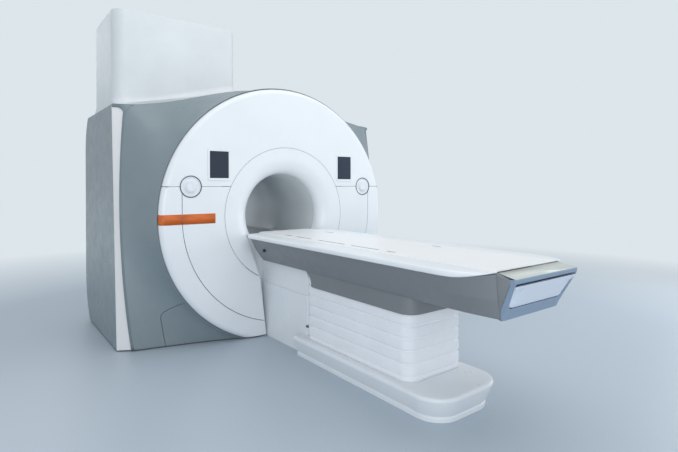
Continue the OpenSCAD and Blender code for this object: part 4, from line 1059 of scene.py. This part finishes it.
class SCANNER_OT_housing(bpy.types.Operator):
    """Builds the table's grey housing and its skirt"""

    bl_idname = "scanner.housing"
    bl_label = "Table housing"

    def execute(self, context):
        column = upright(box_ring(0.112, COLUMN_Y - 0.098, COLUMN_Y + 0.098, 0.01, 2), (0.4, 0.8))
        spans = ((-3.145, -2.88, 28), (-2.7, -1.1, 9), (-0.95, -0.89, 10))
        rings = [self.section(y, sizes().housing_edge) for span in spans for y in np.linspace(*span)]
        housing = make("table_body", loft(rings), "housing", "lift", ["table_housing"])
        well = [at_height(box_ring(w, -3.1, -0.92, 0.04, 4), z) for w, z in ((0.215, 0.655), (0.24, 0.9))]
        cuts = [
            block((-0.264, 0.264), (-3.3, -0.8), (0.812, 1.0)),
            loft(well),
            upright(SLIDE_ROOM, (0.6, 0.76)),
            upright(box_ring(0.5, -1.49, -1.445, 0.002, 2), (0.6985, 0.7015)),
        ]
        quarter = math.radians(90)
        for side, _ in SIDES:
            at = Matrix.Translation((side * 0.36, *PLUG)) @ Matrix.Rotation(quarter, 4, "Y")
            cuts.append(moved(spun([(0.0125, -0.04), (0.0125, 0.04)], 32), at))
        soften(carve(housing, cuts + [column]), 0.002, 2, 50)
        plug = [(0, -0.01), (0.0122, -0.01), (0.0122, 0.001), (0.006, -0.001), (0, -0.002)]
        for side, tag in SIDES:
            at = Matrix.Translation((side * 0.352, *PLUG)) @ Matrix.Rotation(side * quarter, 4, "Y")
            make("plug_" + tag, spun(rounded(plug, 0.0008, 3, False), 40), "socket", "lift", at=at)
        low, high, bend = 0.54, 0.64, 0.1
        rings = []
        for z in (0.535, 0.5365, *(low + bend * math.sin(a) for a in turns(0, 90, 12)), 0.642):
            head = -1.45 - math.sqrt(max(bend**2 - (min(max(z, low), high) - low) ** 2, 0))
            inset = 0.0015 if z == 0.535 else 0
            rings.append(at_height(box_ring(0.25 - inset, -2.589 + inset, head - inset, 0.09, 12), z))
        skirt = make("table_skirt", loft(rings), "housing", "lift")
        well = upright(box_ring(0.241, -2.58, -1.46, 0.08, 8), (0.5, 0.6))
        carve(skirt, [well, column, upright(SLIDE_ROOM, (0.5, 0.7))])
        return {"FINISHED"}

    def section(self, y, edge):
        """Section of the housing at a depth, rounder underneath where it is away from the end cap."""
        w, low = (float(np.interp(y, STATIONS[:, 0], STATIONS[:, k])) for k in (1, 2))
        middle = w - (w - low) * 0.42
        under = edge * (0.45 + 0.55 * min((y + 3.145) / 0.4, 1))
        high = rim_low(y) - 0.0007
        half = [(w - 0.03, high), (w, high), (middle, 0.735), (low, HOUSING_Z), (0, HOUSING_Z)]
        side = rounded(half, [0, 0.003 + 0.4 * (high - RIM_LOW + 0.0007), 0.09, under, 0], 6, False)
        return [(x, y, z) for x, z in side] + [(-x, y, z) for x, z in side[-2::-1]]


# Long holes of the tabletop: place across, half width, spans of depth. On the far side, those over the given
# length are closed.
SOCKET_X = 0.198
SOCKET_W = 0.006
SOCKETS = ((-1.275, -1.170), (-1.540, -1.340), (-1.938, -1.630), (-2.271, -2.005), (-2.419, -2.346))
LONG_SOCKET = 0.11


class SCANNER_OT_tabletop(bpy.types.Operator):
    """Builds the table's white rim and its sliding top"""

    bl_idname = "scanner.tabletop"
    bl_label = "Tabletop"

    def execute(self, context):
        ys = [TOP_FOOT + RIM_SWEEP * (1 - math.cos(a)) for a in turns(0, 90, 24)]
        ys += list(np.linspace(-2.6, -1.2, 6))
        ys += [RIM_HEAD - RIM_CORNER + RIM_CORNER * math.sin(a) for a in turns(0, 85, 12)]
        for side, tag in SIDES:
            rings = []
            for y in ys:
                w, low = rim_width(y), rim_low(y) + 0.0005
                r = min(sizes().table_edge, (w - RIM_INNER) * 0.45, (RIM_TOP - low) * 0.45)
                section = [(RIM_INNER, low), (RIM_INNER, RIM_TOP), (w, RIM_TOP), (w, low)]
                rings.append([(side * x, y, z) for x, z in rounded(section, [0, 0.002, r, min(r, 0.008)], 5)])
            make("table_rim_" + tag, loft(rings), "rim_band", "lift", ["table_rim"])
        make("table_deck", block((-0.268, 0.268), (-3.04, -0.93), (0.8, 0.812)), "rim_band", "lift")
        plan = rectangle((-TOP_W, TOP_W), (TOP_FOOT + 0.002, TOP_HEAD))
        outline = rounded(plan, [0.004, 0.004, 0.06, 0.06], 10)
        levels = ((0.006, 0.82), (0.002, 0.8215), (0.0, 0.826), (0.0, 0.859))
        levels += ((0.0008, 0.8622), (0.003, 0.8644), (0.006, 0.865))
        rings = [at_height(grown(outline, -inset), z) for inset, z in levels]
        top = make("sliding_top", loft(rings), "tabletop", "tabletop", ["tabletop"])
        cuts, inlays, lids = [], [], []
        for side, _ in SIDES:
            x = side * SOCKET_X
            for y0, y1 in SOCKETS:
                plan = rounded(rectangle((x - SOCKET_W, x + SOCKET_W), (y0, y1)), SOCKET_W / 2, 3)
                cuts.append(upright(plan, (0.853, 0.9)))
                inlay = upright([(x + (a - x) * 0.93, b) for a, b in plan], (0.8531, 0.8649))
                (inlays if side < 0 or y1 - y0 < LONG_SOCKET else lids).append(inlay)
        soften(carve(top, cuts), 0.0006, 2, 60)
        clamp = block((-0.012, 0.012), (-2.89, -2.81), (0.8063, 0.8197))
        make("top_sockets", gathered(inlays + [clamp]), "socket", "tabletop", ["top_fittings"])
        make("top_lids", gathered(lids), "tabletop", "tabletop")
        return {"FINISHED"}


class SCANNER_OT_foot_cap(bpy.types.Operator):
    """Builds the table's end cap and its release handle"""

    bl_idname = "scanner.foot_cap"
    bl_label = "End cap"

    def execute(self, context):
        face = [(-3.242, 0.842), (-3.244, 0.834), (-3.240, 0.815)]
        face += [(-3.178, 0.693), (-3.166, 0.668), (-3.152, 0.634)]
        inner = [(y + 0.026, z - 0.005) for y, z in face[:2]] + [(y + 0.022, z) for y, z in face[2:4]]
        inner += [(-3.149, 0.664), (-3.1485, 0.636)]
        back = [(-3.128, 0.8578), (CAP_BACK, 0.8578), *((y + 0.0003, z) for y, z in inner), (-3.128, 0.642)]
        quarter = turns(0, 90, 7)
        rings = [self.shoulder(back, a, -1) for a in quarter]
        rings += [self.shoulder(back, a, 1) for a in quarter[::-1]]
        cap = make("cap_block", loft(rings), "housing", "lift", ["foot_cap"])
        plate = self.slab("cap_frame", face + inner[::-1], 1.0, "cap_lip")
        top = [(-3.1505, 0.8596), (-3.2412, 0.8422), (-3.2412, 0.8405), (-3.1505, 0.8580)]
        self.slab("cap_top", top, 0.968, "cap_top")
        pocket = loft(self.pocket_rings())
        carve(cap, [pocket])
        soften(carve(plate, [pocket]), 0.006, 4, 60)
        # A dark sheet at the back of the handle's pocket: painted shade in the recess round the handle.
        make("cap_pocket", block((-0.24, 0.24), (-3.1595, -3.1575), (0.69, 0.824)), "ring", "lift")
        # A dark strip in the gap between the tabletop's end and the cap's top: painted shade in that gap.
        make("cap_seal", block((-0.261, 0.261), (-3.1478, -3.1454), (0.8582, 0.8636)), "ring", "lift")
        handle = loft(self.handle_rings())
        handle = make("handle_panel", handle, "handle", "release_handle", ["release_handle"])
        handle.data.shade_flat()
        soften(handle, 0.0012, 2, 24)
        return {"FINISHED"}

    def slab(self, name, side, reach, look):
        """A piece as wide as the end cap, from a profile seen from the side."""
        rings = [[(s * cap_width(z), y, z) for y, z in side] for s in (-reach, reach)]
        return make(name, loft(rings), look, "lift")

    def shoulder(self, side, a, sign):
        """A section of the end cap's block on its way round the top corner."""
        inset, drop = CAP_SHOULDER * (1 - math.cos(a)), CAP_SHOULDER * (1 - math.sin(a))
        ring = []
        for y, z in side:
            top = 0.8612 - 0.16 * max(CAP_BACK - y, 0) - drop
            ring.append((sign * (cap_width(z) * 0.9985 - inset), y, min(z, top)))
        return ring

    def pocket_rings(self):
        """Sections of the pocket that the handle sits in."""
        rings = []
        for z in [*np.linspace(POCKET_LOW, 0.721, 9), 0.75, 0.78, *np.linspace(0.8005, POCKET_HIGH, 7)]:
            w = 0.2255 + (min(z, 0.815) - POCKET_LOW) * 0.3 + 0.0022
            w -= corner_inset(z - POCKET_LOW, 0.027) + 0.35 * corner_inset(POCKET_HIGH - z, 0.02)
            rings.append(at_height(rectangle((-w, w), (-3.3, -3.158)), z))
        return rings

    def handle_rings(self):
        """Sections of the handle, with a crease near each end that fades toward the top."""
        rings = []
        heights = [*np.linspace(HANDLE_LOW, 0.723, 10), *np.linspace(0.73, 0.79, 7)]
        for z in [*heights, *np.linspace(0.797, HANDLE_HIGH, 6)]:
            w = 0.226 + (z - HANDLE_LOW) * 0.3
            w -= corner_inset(z - HANDLE_LOW, 0.025) + 0.6 * corner_inset(HANDLE_HIGH - z, 0.012)
            y = -3.2432 + (HANDLE_HIGH - z) * 0.5186 + 0.001
            if z < 0.705:
                y = min(-3.1845 + corner_inset(z - 0.6968, 0.008), -3.177)
            fade = min(max((0.797 - z) / 0.02, 0), 1)
            crease = min(max(0.178 + (0.797 - z) * 0.33, 0.02), w - 0.006)
            xs = [-w, -w + 0.002, -crease - 0.0016, -crease, -crease + 0.0016]
            ys = [y + step for step in (fade * 0.009 + 0.002, fade * 0.009, fade * 0.001, fade * 0.0045, 0)]
            section = list(zip(xs + [-x for x in xs[::-1]], ys + ys[::-1]))
            rear = min(y + 0.018, -3.169)
            rings.append(at_height(section + [(w, rear), (-w, rear)], z))
        return rings


INNER_LOOKS = {
    "vessel": ("magnet_vessel", "helium_vessel", "service_turret", "magnet_feet", "base_plate"),
    "shield": ("radiation_shield",),
    "coil": ("magnet_coils",),
    "rod": ("suspension_rods",),
    "machined": ("cold_head", "drive_pulley", "idler_pulley"),
    "pipe": ("quench_pipe",),
    "frame_coat": ("cover_brackets", "front_frame", "rear_frame", "table_frame"),
    "resin": ("gradient_coil", "body_coil"),
    "column": ("lift_column",),
    "ram": ("lift_ram",),
    "motor": ("travel_motor",),
    "belt": ("drive_belt",),
    "roller": ("roller_front", "roller_rear"),
}


class SCANNER_OT_works(bpy.types.Operator):
    """Gives the inner parts their finishes"""

    bl_idname = "scanner.works"
    bl_label = "Inner parts"

    def execute(self, context):
        for look, nodes in INNER_LOOKS.items():
            for node in nodes:
                refine(node, look, 0)
        return {"FINISHED"}


# The studio's lamps: place, aim, size, power in watts, tint
LAMPS = {
    "ceiling": ((0.5, -2.5, 4.6), (0.3, -1.6, 0.6), (5.0, 4.0), 76, (1.0, 0.99, 0.97)),
    "front_soft": ((-4.2, -6.5, 1.5), (-0.2, -1.0, 0.8), (3.4, 2.2), 105, (0.95, 0.98, 1.0)),
    "right_soft": ((4.6, -3.4, 1.9), (0.2, -1.2, 0.8), (2.6, 2.4), 50, (0.93, 0.97, 1.0)),
    "rear_soft": ((-1.0, 5.0, 4.2), (0, 0.5, 1.2), (3.5, 2.5), 55, (0.95, 0.98, 1.0)),
}

# The photograph's camera: place, yaw, pitch and roll in degrees, lens on a 36 mm sensor, shift
CAMERA_PLACE = (-2.1206, -4.4299, 1.2548)
CAMERA_TURN = (37.561, -0.442, -0.047)
CAMERA_LENS = 25.37
CAMERA_SHIFT = (-0.0073, -0.0547)


class SCANNER_OT_stage(bpy.types.Operator):
    """Sets the floor, the light and the camera"""

    bl_idname = "scanner.stage"
    bl_label = "Stage"

    def execute(self, context):
        scene = context.scene
        self.lay_floor(scene)
        self.light_world(scene)
        for name, (place, aim, size, power, tint) in LAMPS.items():
            data = bpy.data.lights.new(name, "AREA")
            data.shape, data.size, data.size_y = "RECTANGLE", size[0], size[1]
            data.energy, data.color = power, tint
            lamp = bpy.data.objects.new(name, data)
            lamp.location = place
            lamp.rotation_euler = (Vector(aim) - Vector(place)).to_track_quat("-Z", "Y").to_euler()
            scene.collection.objects.link(lamp)
        self.set_camera(scene)
        scene.view_settings.view_transform = "Standard"
        return {"FINISHED"}

    def lay_floor(self, scene):
        """A speckled floor that fades into the backdrop far out."""
        mesh = bpy.data.meshes.new("floor")
        mesh.from_pydata(at_height(rectangle((-40, 40), (-40, 40)), 0), [], [(0, 1, 2, 3)])
        floor = bpy.data.objects.new("floor", mesh)
        scene.collection.objects.link(floor)
        r = Recipe("floor_vinyl")
        colour = tuple(scene.scanner_colours.floor_colour)
        speck = r.ramp(r.noise(140, 3, 0.7), 0, 1, 0.45, 0.6)
        r.set(Base_Color=r.mix(speck, shade(colour, 0.97), shade(colour, 1.03)), Roughness=0.42)
        far = r.add("VectorMath", {0: r.place, 1: (0.0, -1.0, 0.0)}, operation="DISTANCE").outputs["Value"]
        backdrop = r.add("Emission", {"Color": BACKDROP, "Strength": 1.0}).outputs[0]
        blend = r.add("MixShader", {0: r.ramp(far, 0, 1, 3.2, 7.0), 1: r.shader.outputs[0], 2: backdrop})
        connect(r.tree, r.tree.nodes["Material Output"].inputs[0], blend.outputs[0])
        mesh.materials.append(r.material)

    def light_world(self, scene):
        """A pale sky for the light, and a plain backdrop for the camera."""
        world = bpy.data.worlds.new("studio")
        scene.world = world
        world.use_nodes = True
        tree = world.node_tree
        light = add_node(tree, "Background", {0: (0.88, 0.94, 1.0, 1), 1: 0.62})
        seen = add_node(tree, "Background", {0: BACKDROP, 1: 1.0})
        path = add_node(tree, "LightPath").outputs
        rays = {0: path["Is Camera Ray"], 1: path["Is Transmission Ray"]}
        either = add_node(tree, "Math", rays, operation="ADD", use_clamp=True)
        mix = add_node(tree, "MixShader", {0: either.outputs[0], 1: light.outputs[0], 2: seen.outputs[0]})
        connect(tree, tree.nodes["World Output"].inputs[0], mix.outputs[0])

    def set_camera(self, scene):
        """A camera that sees the scanner as the photograph does."""
        camera = bpy.data.objects.new("camera", bpy.data.cameras.new("camera"))
        scene.collection.objects.link(camera)
        camera.data.sensor_width, camera.data.lens = 36.0, CAMERA_LENS
        camera.data.shift_x, camera.data.shift_y = CAMERA_SHIFT
        yaw, pitch, roll = (math.radians(a) for a in CAMERA_TURN)
        ahead = Vector((math.sin(yaw) * math.cos(pitch), math.cos(yaw) * math.cos(pitch), math.sin(pitch)))
        turn = ahead.to_track_quat("-Z", "Y").to_matrix().to_4x4() @ Matrix.Rotation(roll, 4, "Z")
        camera.matrix_world = Matrix.Translation(CAMERA_PLACE) @ turn
        scene.camera = camera


STEPS = (
    SCANNER_OT_covers, SCANNER_OT_body, SCANNER_OT_strips, SCANNER_OT_shell, SCANNER_OT_tower,
    SCANNER_OT_displays, SCANNER_OT_dials, SCANNER_OT_pedestal, SCANNER_OT_plinth, SCANNER_OT_bellows,
    SCANNER_OT_housing, SCANNER_OT_tabletop, SCANNER_OT_foot_cap, SCANNER_OT_works, SCANNER_OT_stage,
)


class SCANNER_PT_panel(bpy.types.Panel):
    """Lists the scanner's settings and building steps"""

    bl_idname = "SCANNER_PT_panel"
    bl_label = "Resonance scanner"
    bl_space_type = "VIEW_3D"
    bl_region_type = "UI"
    bl_category = "Scanner"

    def draw(self, context):
        for group in (context.scene.scanner_sizes, context.scene.scanner_colours):
            box = self.layout.box()
            for key in group.__annotations__:
                box.prop(group, key)
        for step in STEPS:
            self.layout.operator(step.bl_idname)


CLASSES = (ScannerColours, ScannerSizes, *STEPS, SCANNER_PT_panel)


def register():
    """Registers the classes and the scene's settings."""
    for item in CLASSES:
        bpy.utils.register_class(item)
    bpy.types.Scene.scanner_colours = PointerProperty(type=ScannerColours)
    bpy.types.Scene.scanner_sizes = PointerProperty(type=ScannerSizes)


def unregister():
    """Takes the settings and classes away again."""
    del bpy.types.Scene.scanner_colours
    del bpy.types.Scene.scanner_sizes
    for item in reversed(CLASSES):
        bpy.utils.unregister_class(item)


def main():
    """Builds every piece."""
    register()
    for step in STEPS:
        group, name = step.bl_idname.split(".")
        getattr(getattr(bpy.ops, group), name)()


if __name__ == "__main__":
    main()
